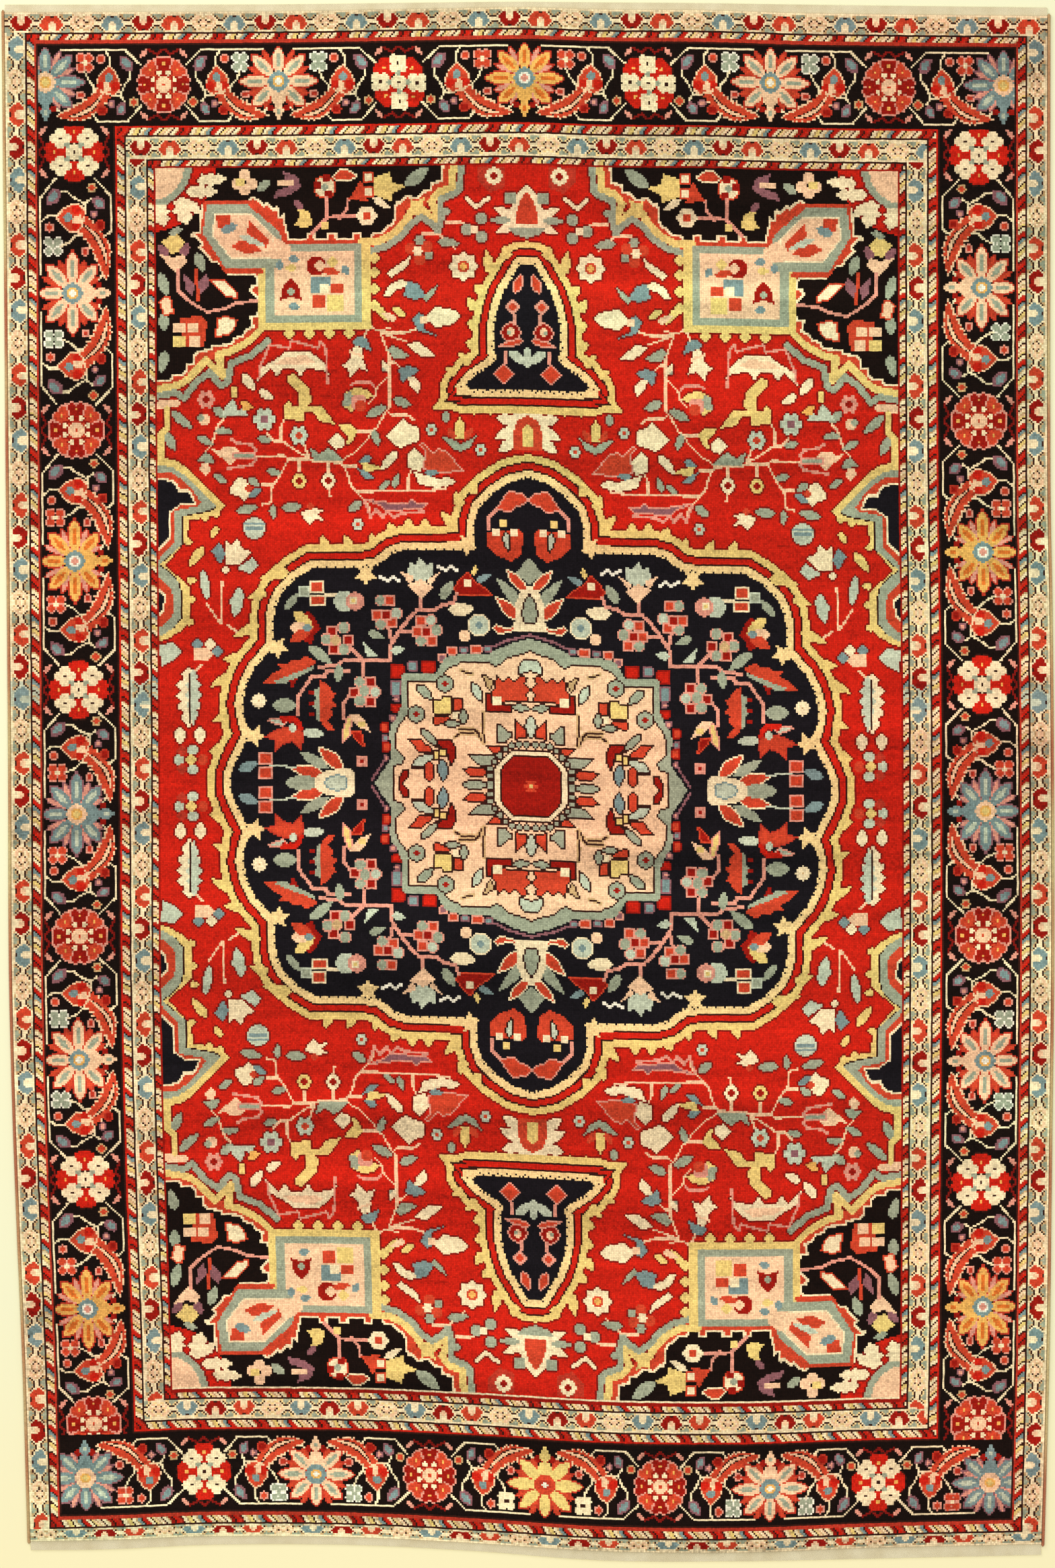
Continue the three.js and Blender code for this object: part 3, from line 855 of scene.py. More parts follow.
for points in [
    [(60, 103), (60, 97), (65, 93), (70, 87), (76, 78), (77, 76), (77, 68)],
    [(62, 96), (53, 95.5), (48, 99), (42, 100), (40, 105)], [(78, 87), (76, 78)],
    [(64, 84), (70, 84)], [(77, 68), (102, 68), (106, 65.5), (116, 64)], [(92, 68), (100, 76)],
    [(92, 67), (92, 60)], [(100, 62), (112, 62), (113, 59), (120, 59), (128, 48), (128, 38)],
    [(99, 49), (103, 44), (103, 36)]
]:
    pen.line("pink", 1.8, points)
pen.line("cream", 1, [(113, 104), (106, 104)])
pen.line("sky", 1, [(144, 10), (130, 8.5)])
pen.area("sky", [(61, 126), (57, 121), (53, 122), (53, 115), (58, 112), (63, 112), (67, 116),
    (66, 122), (62, 121)])
for points in [
    [(71, 117), (64, 115), (65, 109)], [(49, 117), (56, 113), (55, 109)],
    [(67, 110), (60, 102), (53, 109), (60, 113)]
]:
    pen.area("peach", points)
berries(pen, [("sage", 82, 101), ("coral", 77, 101), ("sky", 73.5, 94), ("coral", 84.5, 93.5),
    ("sage", 82, 88), ("coral", 76.5, 89), ("crimson", 79, 93.5)])
berries(pen, [("coral", 60, 90), ("coral", 62.5, 84.5), ("coral", 54.5, 79.5), ("sky", 54.5, 90.5),
    ("sage", 51.5, 85), ("sage", 60, 79), ("crimson", 57, 84.5)])
berries(pen, [("crimson", 109, 84.5), ("crimson", 100.5, 79.5), ("crimson", 108.5, 74),
    ("sage", 102.5, 86), ("sage", 112, 79.5), ("sage", 102.5, 74), ("tan", 107, 79)])
berries(pen, [("sage", 94, 56), ("crimson", 88.5, 56), ("crimson", 97.5, 50.5),
    ("sky", 85.5, 50.5), ("sage", 94, 45.5), ("crimson", 88.5, 45.5), ("sage", 91.5, 51)])
for colour, base, tip, width in [
    ("sage", (89, 84), (80, 80), 4.5), ("sky", (77, 73), (69, 74.5), 4.5),
    ("sage", (122, 76), (109, 66), 6), ("sage", (105, 66), (106, 55), 5),
    ("sage", (135, 96), (127, 105), 4.5), ("sky", (126, 28), (113, 27), 5),
    ("sage", (142, 43), (128, 43), 8), ("slate", (161, 7), (150, 11), 6)
]:
    pen.leaf(colour, base, tip, width)
pen.area("sky", [(92, 78), (90, 70), (83, 69.5), (86, 73)])
pen.block("sage", 121, 127, 103, 109, "sky")
pen.block("coral", 113, 121, 105.5, 112, "cream")
pen.block("coral", 112.5, 121.5, 98, 104.5, "cream")
pen.disc("sky", 102, 100.5, 5.6)
pen.disc("pink", 96, 100.5, 5.2)
pen.disc("gold", 97, 101, 2.4, "cream")
pen.area("crimson", [(122, 95), (118, 91), (115, 85.5), (119, 82), (120, 77), (124, 78),
    (124, 94)])
for tip, colour in [((130, 95), "gold"), ((133, 86), "peach"), ((132, 78.5), "coral")]:
    pen.leaf(colour, (119, 86), tip, 6, belly=1.2)
pen.disc("slate", 122.5, 86, 2.4)
pen.area("coral", [(117, 67), (124, 70.5), (126, 68.5), (131, 68.5), (133, 66), (139, 65.5),
    (137, 63), (143, 60), (147, 55), (138, 54.5), (127, 60)])
pen.area("sage", [(119, 65), (128, 61.5), (142, 56), (136, 54.5), (127, 59), (119, 63)])
pen.area("crimson", [(133, 57), (131, 51.5), (128, 58)])
pen.area("coral", [(116, 57), (111, 54), (110, 51), (107, 49.5), (109, 46), (106.5, 43), (110, 41),
    (108.5, 38), (112, 35), (107, 28.5), (112, 29), (116.5, 35), (115.5, 50)])
pen.area("sage", [(115.5, 53), (120, 51), (118, 47), (120, 43), (117.5, 40), (118, 36), (116, 33)])
for y in (50, 44, 38.5):
    pen.block("crimson", 119, 122, y - 1, y + 1)
pen.disc("cream", 149.5, 45.5, 4)
pen.disc("tan", 149.5, 45.5, 0.8)
pen.area("sky", [(146, 35), (140, 36.5), (134, 34), (136, 31), (140, 32)], "pink")
pen.area("red", [(138, 37), (130, 37), (126, 33), (125, 28), (129, 30), (134, 34), (137, 33)])
pen.area("coral", [(148, 25), (141, 29), (136, 31), (128, 30), (125, 27), (126, 17), (129, 20),
    (131, 23), (136, 21), (141, 17), (141, 24)], "rust")
pen.disc("sky", 131, 30.5, 2.3)
for y in (2.5, 10.5):
    pen.block("coral", 142.5, 150, y, y + 7, "pink")
pen.area("gold", [(104, 21), (103.5, 30), (101, 37), (98, 36), (99, 27)], "pink")
pen.area("peach", [(100, 38), (95, 38), (91, 34), (88, 28), (95, 31), (98, 34)])
pen.area("crimson", [(99.5, 29.5), (93, 29.5), (91, 19.5), (95, 22), (98, 26)], "coral")
pen.disc("gold", 93, 32.5, 1.9)
pen.petals("pink", 4, 93, 12, 4.5, 4, first=45)
pen.disc("crimson", 93, 12, 1)
quarter.report("sprays on the navy ground")

# %% The row of blobs
for colour, places in {
    "red": [("crimson", 73.5, 62, 8, 8), ("crimson", 56, 65, 8, 7), ("crimson", 74, 42, 7, 5)],
    "slate": [("mauve", 65, 65, 6, 6), ("mauve", 37, 74.5, 5, 4), ("mauve", 23.5, 75, 5, 4),
    ("mauve", 74.5, 53, 6, 9), ("mauve", 80.5, 25, 4, 4)],
    "mauve": [("pink", 48.5, 70, 5, 5)],
    "coral": [("pink", 43, 74, 6, 5), ("pink", 30, 74.5, 7, 5), ("crimson", 80.5, 31, 5, 6),
    ("crimson", 80, 20, 5, 6)],
    "pink": [("mauve", 74, 46.5, 4, 3), ("mauve", 76, 36.5, 4, 4), ("mauve", 80, 14, 3, 4)]
}.items():
    for rim, x, y, width, height in places:
        w, h = width / 2, height / 2
        pen.area(colour, [(x - w, y - h + 1), (x - w + 1, y - h), (x + w - 1, y - h),
            (x + w, y - h + 1), (x + w, y + h - 1), (x + w - 1, y + h), (x - w + 1, y + h),
            (x - w, y + h - 1)], rim)
pen.line("mauve", 1.2, [(20, 76.5), (12, 80), (0, 83)])
pen.line("mauve", 1.2, [(88, 1), (83, 9), (80, 14)])
quarter.report("the row of blobs")

# %% [markdown]
# ### The peach heart
#
# The middle is peach inside a sage ribbon. Its figures stand in pairs round a ring of
# beads, and every one of them has a dark outline a single knot wide.

# %% The peach heart
PEACH = [(-20, 75), (0, 75), (4, 73), (8, 72), (12, 71), (15, 68.5), (17, 67), (19, 66),
    (21.5, 67), (22.5, 68.3), (38, 68.5), (41, 66), (45, 65), (48.5, 60.5), (51, 57), (68, 57),
    (68, 44), (67, 40), (70, 36), (72.5, 33), (75, 27), (75, 20), (73.5, 18), (70, 14), (71.5, 11),
    (76, 10), (76, -20), (-20, -20)]
PEACH_RIBBON = [(-20, 81), (0, 81), (10, 78.5), (20, 74), (23, 71.8), (40, 71.5), (47, 70),
    (50, 65), (52, 61.5), (69, 61), (71.5, 59.5), (71.5, 42), (74, 36), (77, 32), (78, 27),
    (77, 20), (77, 14), (80, 9), (83, 5), (86, 0), (90, -20), (-20, -20)]
pen.area("sage", PEACH_RIBBON)
pen.area("peach", PEACH, "brown")
for x, y, r in [(47, 55.5, 5.2), (63, 38.5, 5.2)]:
    pen.disc("sage", x, y, r, "brown")
    pen.disc("crimson", x, y, 1.6)
for colour, places in {
    "coral": [[(24, 50), (20, 54), (19, 61.5), (15, 57.5), (12, 60), (9, 57.5), (5, 61), (1, 60),
    (3, 56), (0, 53), (2, 50), (0, 46.5), (14, 45.5), (22, 44)],
    [(42.7, 48), (37, 47.5), (36.5, 46), (38, 40.5), (43, 40.5)],
    [(54.5, 36), (52, 38.3), (45, 37.8), (44, 35.5), (48, 33), (53, 31.8)],
    [(68.5, 25.3), (61, 25.3), (54.5, 20), (54.5, 16.7), (62, 17), (64, 20)],
    [(25.5, 22.3), (16, 22.3), (16, 16.5), (21, 17.5)],
    [(9.5, 38.5), (5.5, 34), (2.2, 31.5), (2.2, 26), (9.5, 25.2)],
    [(38, 8.5), (34, 10), (25, 10), (23.8, 6), (27, 4), (34, 4)]],
    "crimson": [[(25.5, 51), (25.5, 40.5), (10, 40.5), (10, 44.5), (21.5, 45), (21, 51)],
    [(56, 25.3), (44, 25.5), (41, 20), (41.5, 14), (44, 9), (46, 14), (47, 19), (53, 20.5)],
    [(72.5, 4), (70.5, 8.5), (67.5, 8), (67.5, 3), (71, -1), (73, -1)]],
    "tan": [[(27.5, 61.5), (24, 60.5), (19.5, 57), (22, 51.5), (24.5, 54)]],
    "gold": [[(54.5, 48.5), (51.5, 46.8), (50, 46.5), (48.5, 49), (43, 48.5), (43, 40), (44, 38.5),
    (53, 38.5), (54.5, 41)]],
    "sage": [[(19.3, 34), (16, 33.5), (13.5, 30.5), (9.7, 30), (9.7, 27), (12, 25.5), (13.5, 22.7),
    (19, 22.7)], [(35.5, 16.7), (20, 16.7), (17, 15), (19, 12), (23, 9.7), (28, 10.5), (32, 13)]]
}.items():
    for points in places:
        pen.area(colour, points, "brown")
pen.block("cream", 16.3, 21.5, 44.3, 49)
pen.block("cream", 38.5, 43.5, 36, 40)
for colour, base, tip, width in [
    ("sage", (11, 43.5), (0, 42.5), 5.5), ("sky", (32.5, 57), (26, 45), 6),
    ("sage", (63, 55), (53, 46), 6), ("sky", (-1, 70), (7, 61), 7),
    ("sage", (37, 42), (37, 32), 5.5), ("sage", (48.5, 33.5), (37.5, 33.3), 5),
    ("sage", (61.5, 31), (50, 20.5), 5.5), ("sky", (66, 9.5), (52.5, 16.5), 7),
    ("coral", (56, 13.5), (56, 0), 7), ("slate", (49, 14), (48, 1), 7),
    ("sage", (38, 0), (23, 0), 7), ("sky", (1, 39), (0, 25), 6)
]:
    pen.leaf(colour, base, tip, width, "brown")
pen.block("gold", 50, 53.7, 13, 19.3, "brown")
pen.block("gold", 46, 50.7, 15, 19.7, "brown")
for points in [
    [(42, 26), (38.5, 28.5), (30, 28.5), (27.5, 25), (26, 23)],
    [(40, 30.5), (31, 30.5), (28, 27.5)], [(26, 40), (26.5, 33), (25.5, 23)],
    [(38, 63), (35, 61.5), (32, 61)]
]:
    pen.line("tan", 2, points)
    pen.line("brown", 0.8, points)
pen.line("brown", 0.8, [(66, 8.5), (58, 8.5)])
for place in [
    (22.7, 1), (22.7, 5), (22.5, 9), (19.8, 12.8), (17.3, 16.5), (14, 20), (10.5, 22.3),
    (6.5, 22.7), (2.5, 22.7)
]:
    pen.disc("sage", *place, 2.3, "brown")
pen.area("cream", [(-10, 20.5), (10, 20.5), (14, 17), (20, 11), (21, 8), (21, -10), (-10, -10)],
    "brown")
pen.area("crimson", [(-10, 17), (9, 17), (16, 10.5), (17, 8), (17, -10), (-10, -10)], "brown")
pen.rosette(0, 0, 4, "coral", "gold", count=6)
quarter.report("the peach heart")

# %% [markdown]
# ### Outlining, and the whole field
#
# A weaver parts red from a paler motif with a line of darker red. Doing that for each
# motif would be slow, so it is done once at the end: every red knot that touches a pale
# one is dyed wine red. Then the quarter is mirrored both ways.

# %% Outline the motifs and mirror the quarter
PALE = ("sage", "sky", "slate", "gold", "cream", "mauve", "amber", "tan")
pale = np.isin(quarter.knots, [DYE[name] for name in PALE])
quarter.knots[next_to(pale) & (quarter.knots == DYE["red"])] = DYE["wine"]
quarter.report("wine outlines")

half = np.hstack([quarter.knots[:, ::-1], quarter.knots])
field = np.vstack([half[::-1], half])
print("field:", field.shape)

# %% [markdown]
# ## The main border
#
# Flowers and curled leaves alternate on a brown-black ground. A star and half of the
# space beside it are one drawing, turned for each side of the rug and mirrored.
# A weaver fits the border to the rug by stretching or squeezing the spaces, so each
# repeat takes the length between its two flowers.

# %% The eight-petalled star
# The dyes of each kind: petal, its core, the small petals between, ring, eye and middle.
STARS = {"coral": ("peach", "sage", "coral", "slate", "amber", "ivory"),
    "gold": ("amber", "orange", "pink", "slate", "ivory", "pink"),
    "blue": ("slate", "sky", "pink", "peach", "amber", "gold"),
    "wheat": ("gold", None, "coral", "coral", "rust", "ivory")}


def star_flower(pen, kind):
    """A flower of eight long petals; the inward one ends in a bud."""
    petal, core, small, ring, eye, middle = STARS[kind]
    edge = "mauve" if kind == "blue" else "rust"
    tips = [(23, 0), (-23, 0), (15.5, 14), (-15.5, 14), (15.5, -13.5), (-15.5, -13.5), (0, 18.5),
        (0, -14)]
    for x, y in tips:
        pen.leaf(edge, (x * 0.1, y * 0.1), (x * 1.05, y * 1.05), 8.6, belly=1.15)
    for x, y in (
        (18, 7.5), (18, -7), (-18, 7.5), (-18, -7), (9, 17), (-9, 17), (8.5, -14.5), (-8.5, -14.5)
    ):
        pen.leaf(edge, (x * 0.3, y * 0.3), (x * 1.02, y * 1.02), 3.9, belly=1.5)
        pen.leaf(small, (x * 0.3, y * 0.3), (x * 0.97, y * 0.97), 2.5, belly=1.5)
    for x, y in tips:
        pen.leaf(petal, (x * 0.1, y * 0.1), (x, y), 6.8, belly=1.15)
        if core:
            pen.leaf(core, (x * 0.36, y * 0.36), (x * 0.84, y * 0.84), 3, belly=1.1)
    pen.leaf(petal, (0, -2), (0, -14), 10, belly=0.9)
    for x in (-4.5, 4.5):
        pen.disc("crimson", x, -14.5, 1.8)
    pen.area(petal, [(0, -11), (3.6, -16), (0, -22), (-3.6, -16)])
    pen.disc(core or petal, 0, -16.5, 1.4)
    pen.disc(ring, 0, 0, 5.7)
    pen.disc(eye, 0, 0, 3)
    pen.disc(middle, 0, 0, 1.6)


# %% Two round flowers
def around(count, radius, first=0):
    """Places evenly round a circle about the pen."""
    return [(radius * math.cos(math.radians(first + 360 * k / count)),
        radius * math.sin(math.radians(first + 360 * k / count))) for k in range(count)]


def red_rosette(pen):
    """A round flower of coral and crimson petals in a pink outline."""
    for x, y in around(16, 13.2, 11.25):
        pen.disc("pink", x, y, 3.6)
    for k, (x, y) in enumerate(around(16, 13, 11.25)):
        pen.disc("crimson" if k % 4 in (0, 3) else "coral", x, y, 2.9)
    for k, (x, y) in enumerate(around(8, 8.5)):
        pen.disc("coral" if k % 2 else "crimson", x, y, 4.3)
        pen.disc("amber", x * 1.42, y * 1.42, 0.8)
    for x, y in around(8, 16, 22.5):
        pen.line("pink", 0.9, [(x * 0.5, y * 0.5), (x, y)])
    for x, y in around(8, 7.3, 22.5):
        pen.disc("crimson", x, y, 2.5)
        pen.disc("cream", x, y, 1.5)
    pen.disc("rust", 0, 0, 5.2)
    pen.disc("peach", 0, 0, 4.5)
    pen.disc("coral", 0, 0, 0.9)


def cross_rosette(pen):
    """A round flower of four red squares behind a cream cross."""
    for x, y in around(4, 10.3):
        for radius, colour in ((4.4, "brown"), (3.8, "red")):
            for dx, dy in around(4, 2.8, 45):
                pen.disc(colour, x + dx, y + dy, radius)
        pen.disc("amber", x * 1.08, y * 1.08, 0.9)
    for x, y in around(4, 10.6, 45):
        for dx, dy in around(4, 3.2):
            pen.disc("cream", x + dx, y + dy, 2.7)
        pen.disc("brown", x, y, 0.9)
        pen.leaf("sage", (x * 0.3, y * 0.3), (x * 0.68, y * 0.68), 3.4)
    for dx, dy in around(4, 2):
        pen.disc("cream", dx, dy, 2.6)
    pen.disc("brown", 0, 0, 1.1)


# %% The curled leaf
def saw_leaf(pen, colour, tip, base, bend, width):
    """A leaf that keeps its width from near its tip down to its base, with a saw edge."""
    tip, base = np.array(tip), np.array(base)
    along = base - tip
    across = np.array([-along[1], along[0]]) / np.hypot(*along)
    t = np.linspace(0, 1, 23)
    middle = tip + np.outer(t, along) + np.outer(bend * np.sin(np.pi * t), across)
    half = width / 2 * np.minimum(1, 2.4 * t) ** 0.7
    half[1::2] *= 0.76
    sides = np.outer(half, across)
    pen.area(colour, np.vstack([middle + sides, (middle - sides)[::-1]]))


def curled_leaf(pen):
    """The long saw-edged leaf that curls from beside a star up to its own flowering head."""
    pen.line("cream", 0.9, [(7, -13), (12, -16.5), (16, -17)])
    saw_leaf(pen, "peach", (6.5, -17), (39, -2.5), -4.4, 12)
    saw_leaf(pen, "coral", (7.5, -17.2), (39, -2.5), -4.3, 10)
    pen.leaf("brown", (13, -17.8), (38, -2.5), 3.2, bend=-4)
    pen.leaf("peach", (13, -17.8), (38, -2.5), 1.8, bend=-4)
    head = [(40.5, 10.8), (36, 7.5), (32.5, 3.5), (32, -0.5), (35, -4), (43, -6.5), (47, -4),
        (48, 0.5), (45.5, 6)]
    pen.area("peach", head)
    pen.area("coral", [(40.3 + (x - 40.3) * 0.88, 2 + (y - 2) * 0.88) for x, y in head])
    pen.disc("red", 35.5, -0.5, 2.4)
    pen.disc("red", 44.5, -0.8, 2.6)
    pen.area("peach", [(36.5, -5.5), (41.5, -3), (40, 2), (37.5, 1)])
    pen.disc("slate", 40.3, 3.8, 2.3)


# %% From a star to the next round flower
REPEAT = 75                  # knots from a star to the next round flower, as drawn


def half_repeat(pen, kind):
    """Everything between a star and the next round flower."""
    for points in (
        [(10, 18.6), (51, 18.6), (61, 10.5)], [(61, -11), (52, -19.7), (33, -19.7), (30, -16.5)],
        [(38, 18.6), (41, 15), (41, 10)], [(43, -6), (47.5, -5.5), (50.5, 0), (54, 4), (54, 8.5)],
        [(47.5, -5.5), (50, -9), (49, -13)], [(25, 7.5), (27.5, 2.5), (31, -1), (31, -4)]
    ):
        pen.line("cream", 0.9, points)
    curled_leaf(pen)
    petal, heart = {"coral": ("ivory", "sage"), "gold": ("coral", "cream"),
        "blue": ("coral", "cream"), "wheat": ("cream", "brown")}[kind]
    for dx, dy in around(4, 3.6, 45):
        pen.disc("pink" if petal == "coral" else petal, 25 + dx, 12 + dy, 2.7)
        pen.disc("sage" if petal == "ivory" else petal, 25 + dx, 12 + dy, 2)
    pen.disc(heart, 25, 12, 1.4)
    for colour, x, y, radius, rim in (
        ("coral", 35, 14, 2.6, "pink"), ("rust", 22, -5.5, 2.5, "pink"),
        ("coral", 56, -9.5, 2.6, "tan"), ("pink", 42, -10.5, 2.1, "mauve"),
        ("crimson", 36, -14, 2.9, "rust")
    ):
        pen.disc(colour, x, y, radius, rim)
    pen.leaf("mauve", (55, 8), (47, 15.5), 7)
    pen.leaf("slate", (54, 9.5), (48.5, 14.5), 4)
    pen.leaf("mauve", (50.5, -10), (45, -17), 6)
    pen.leaf("slate", (49.5, -11.5), (46, -16), 3.6)


def beside_round(pen):
    """Small petals and tendrils between a round flower and the band's edges."""
    for side in (1, -1):
        for end in (1, -1):
            pen.leaf("pink", (end * 9, side * 19.5), (end * 14.5, side * 14.5), 2.6)
            pen.line("wine", 1.2, [(end * 9, side * 19), (end * 3.5, side * 16.5),
                (0, side * 19.5)])


# %% [markdown]
# The flowers stand where the weaver put them, not at even steps, so each side has its
# own list of flowers and places.

# %% Where the flowers stand
LEFT_FLOWERS = [(348, "cross"), (271, "coral"), (196, "rosette"), (124, "gold"), (53, "cross"),
    (-16, "blue"), (-84, "rosette"), (-153, "coral"), (-220, "cross"), (-293, "gold"),
    (-358, "rosette")]
RIGHT_FLOWERS = [(348, "cross"), (276, "coral"), (203, "rosette"), (131, "gold"), (58, "cross"),
    (-12, "blue"), (-81, "rosette"), (-151, "coral"), (-219, "cross"), (-289, "gold"),
    (-355, "rosette")]
HEAD_FLOWERS = [(-264, "blue"), (-199, "rosette"), (-136, "coral"), (-70, "cross"), (-1, "gold"),
    (67, "cross"), (134, "coral"), (199, "rosette"), (262, "blue")]
FOOT_FLOWERS = [(-254, "blue"), (-187, "cross"), (-124, "coral"), (-60, "rosette"), (5, "wheat"),
    (70, "rosette"), (132, "coral"), (193, "cross"), (256, "blue")]
print("flowers:", sum(map(len, (LEFT_FLOWERS, RIGHT_FLOWERS, HEAD_FLOWERS, FOOT_FLOWERS))))

# %% One side of the main border
END_SQUEEZE = 0.92           # the flowers at the head and the foot are a little narrower


def motif_band(chart, flowers, middle, sideways, outward):
    """Draw one side of the main border: its flowers by turns, at their places along it."""
    turn = {(True, 1): 0, (False, -1): 90, (True, -1): 180, (False, 1): -90}[(sideways, outward)]
    backwards = turn in (180, -90)
    for a, b in zip(flowers[:-1], flowers[1:]):
        star, other = (a, b) if a[1] in STARS else (b, a)
        x, y = (star[0], middle) if sideways else (middle, star[0])
        stretch = abs(b[0] - a[0]) / REPEAT
        flip = (other < star) != backwards
        half_repeat(Pen(chart, x, y, turn, flip=flip, long=stretch), star[1])
    for place, kind in flowers:
        x, y = (place, middle) if sideways else (middle, place)
        pen = Pen(chart, x, y, turn, long=END_SQUEEZE if sideways else 1)
        if kind in STARS:
            star_flower(pen.at(0, 1.5), kind)
        elif kind == "rosette":
            beside_round(pen)
            red_rosette(pen.at(0, 0, size=0.95))
        else:
            beside_round(pen)
            cross_rosette(pen.at(0, 0, turn=45) if sideways and outward > 0 else pen)


# %% [markdown]
# ## Guards and barber stripes
#
# The narrow stripes repeat every few knots. A guard has three hearts and a ring by
# turns in a lattice, every other one upside down. Half of one motif is charted knot by
# knot, as on squared paper, and mirrored. The slanting barber stripes are a list of
# dyes laid aslant.

# %% Hearts and rings, knot by knot
# Half of one motif, from its middle out to the next lattice crossing: h heart, n its notch,
# c cream, b brown, s sage, t tan.
HEART = ["cccccccc", "cccctsss", "cchhcbts", "cchhhcbt", "nchhhhcb", "nnhhhhcc", "nhhhhccc",
    "hhhhhcbb", "hhhhcbts", "bhhcbtss", "ccccttss", "cccccccc"]
RING = ["cccccccc", "cccctsss", "cthhcbts", "tnhhhcbt", "hbnthhcb", "hhbtnhcc", "nhthhtcc",
    "hbnnhcbb", "tnhhcbts", "cttcbtss", "ccccttss", "cccccccc"]


def guard_cell(rows, heart, notch, upside_down=False):
    """The dye numbers of one whole motif."""
    dyes = {"h": heart, "n": notch, "c": "cream", "b": "brown", "s": "sage", "t": "tan"}
    half = np.array([[DYE[dyes[knot]] for knot in row] for row in rows])
    cell = np.hstack([half[:, ::-1], half])
    return cell[::-1] if upside_down else cell


GUARD = np.array([guard_cell(HEART, "crimson", "peach"), guard_cell(HEART, "coral", "peach", True),
    guard_cell(RING, "peach", "cream"), guard_cell(HEART, "slate", "cream", True)])
print("guard motifs:", GUARD.shape)

# %% Strips of hearts and of slanting colours
BARBER = ("crimson crimson brown red red rust crimson brown cream cream tan gold gold brown cream "
    "cream tan slate slate brown red red rust cream cream brown gold peach tan cream peach "
    "brown cream cream tan").split()

BARBER_SLANT = 0.8           # knots along for each knot out


def guard(length, width, pitch, first):
    """A strip of hearts and rings in a lattice: one row of knots for each knot of width."""
    along = np.arange(length) / pitch
    motifs, rows, columns = GUARD.shape
    cell = (along.astype(int) + first) % motifs
    column = (along % 1 * columns).astype(int)
    row = (np.arange(width) * rows // width)[:, None]
    return GUARD[cell, row, column]


def barber(length, width, pitch, first):
    """A strip of slanting colours."""
    slant = np.arange(length) + BARBER_SLANT * np.arange(width)[:, None]
    place = ((slant / pitch + first) % 1 * len(BARBER)).astype(int)
    return np.array([DYE[name] for name in BARBER])[place]


def line(colour):
    """A strip of one colour, asked for as the other strips are."""
    return lambda length, width, pitch, first: np.full((width, length), DYE[colour])


# %% Every stripe, from the outer edge inwards
# What fills it, its pitch at the sides and the ends, and where it starts and ends: out from
# the middle line at the sides, then at the head, then at the foot.
STRIPES = [(guard, 17.8, 16.75, (275, 286), (413, 424), (417, 424)),
    (line("brown"), 1, 1, (274, 275), (412, 413), (416, 417)),
    (barber, 35, 34, (270, 274), (409, 412), (412, 416)),
    (line("rust"), 1, 1, (269, 270), (407, 409), (410, 412)),
    (line("brown"), 1, 1, (268, 269), (406, 407), (409, 410)),
    (line("brown"), 1, 1, (226, 227), (361, 362), (363, 364)),
    (line("red"), 1, 1, (225, 226), (361, 362), (362, 363)),
    (barber, 34, 34, (221, 225), (357, 361), (358, 362)),
    (line("brown"), 1, 1, (220, 221), (356, 357), (357, 358)),
    (guard, 17.8, 16, (209, 220), (344, 356), (346, 357)),
    (line("brown"), 1, 1, (208, 209), (343, 344), (345, 346)),
    (barber, 35, 34, (205, 208), (340, 343), (342, 345)),
    (line("crimson"), 1, 1, (204, 205), (338, 340), (340, 342))]
INNER_GUARD = 220            # the inner guard's outer edge, at the sides


def paler(strip):
    """The same strip in wool from a paler pot."""
    return np.where(strip == DYE["tan"], DYE["wheat"], strip)


knots = np.full((ROWS, COLUMNS), DYE["cream"], np.uint8)
middle_row, middle_column = ROWS // 2, COLUMNS // 2
for fill, side_pitch, end_pitch, (near, far), (head_in, head_out), (foot_in, foot_out) in STRIPES:
    other = paler if far == INNER_GUARD else np.asarray
    low, high = middle_row - foot_out, middle_row + head_out
    strip = fill(high - low, far - near, side_pitch, 1)
    knots[low:high, middle_column - far:middle_column - near] = strip.T
    knots[low:high, middle_column + near:middle_column + far] = other(strip)[::-1].T
    across = slice(middle_column - far, middle_column + far)
    strip = other(fill(2 * far, head_out - head_in, end_pitch, 0))
    knots[middle_row + head_in:middle_row + head_out, across] = strip[::-1]
    strip = other(fill(2 * far, foot_out - foot_in, end_pitch, 2))
    knots[middle_row - foot_out:middle_row - foot_in, across] = strip
print("stripes:", len(STRIPES))

# %% [markdown]
# ## The whole chart
#
# The dark bands go in between the stripes, both sides first and then the ends over
# them, corners included, and the field goes in the middle. For a few rows the weaver
# had only pale blue for the light knots of the guards. The chart is turned so that its
# first row is the head of the rug.

# %% Put the chart together
# Each band: its flowers, its four edges and its middle line in knots from the middle of the
# rug, whether it runs sideways, and which way is outwards.
for flowers, left, right, low, high, middle, sideways, outward in (
    (LEFT_FLOWERS, -268, -227, -366, 365, -248.5, False, -1),
    (RIGHT_FLOWERS, 227, 268, -366, 365, 248.5, False, 1),
    (HEAD_FLOWERS, -268, 268, 362, 406, 384.5, True, 1),
    (FOOT_FLOWERS, -268, 268, -409, -364, -387, True, -1)
):
    band = Chart(right - left, high - low, "soot", left, low)
    motif_band(band, flowers, middle, sideways, outward)
    rows = slice(middle_row + low, middle_row + high)
    knots[rows, middle_column + left:middle_column + right] = band.knots

PALE_BLUE_ROWS = slice(468, 482)
BORDER_FROM, BORDER_TO = 221, 269     # the main border between these keeps its colours
batch = knots[PALE_BLUE_ROWS]
from_middle = abs(np.arange(COLUMNS) - (COLUMNS - 1) / 2)
light = np.isin(batch, [DYE["cream"], DYE["gold"], DYE["peach"]])
batch[light & ((from_middle < BORDER_FROM) | (from_middle > BORDER_TO))] = DYE["sky"]

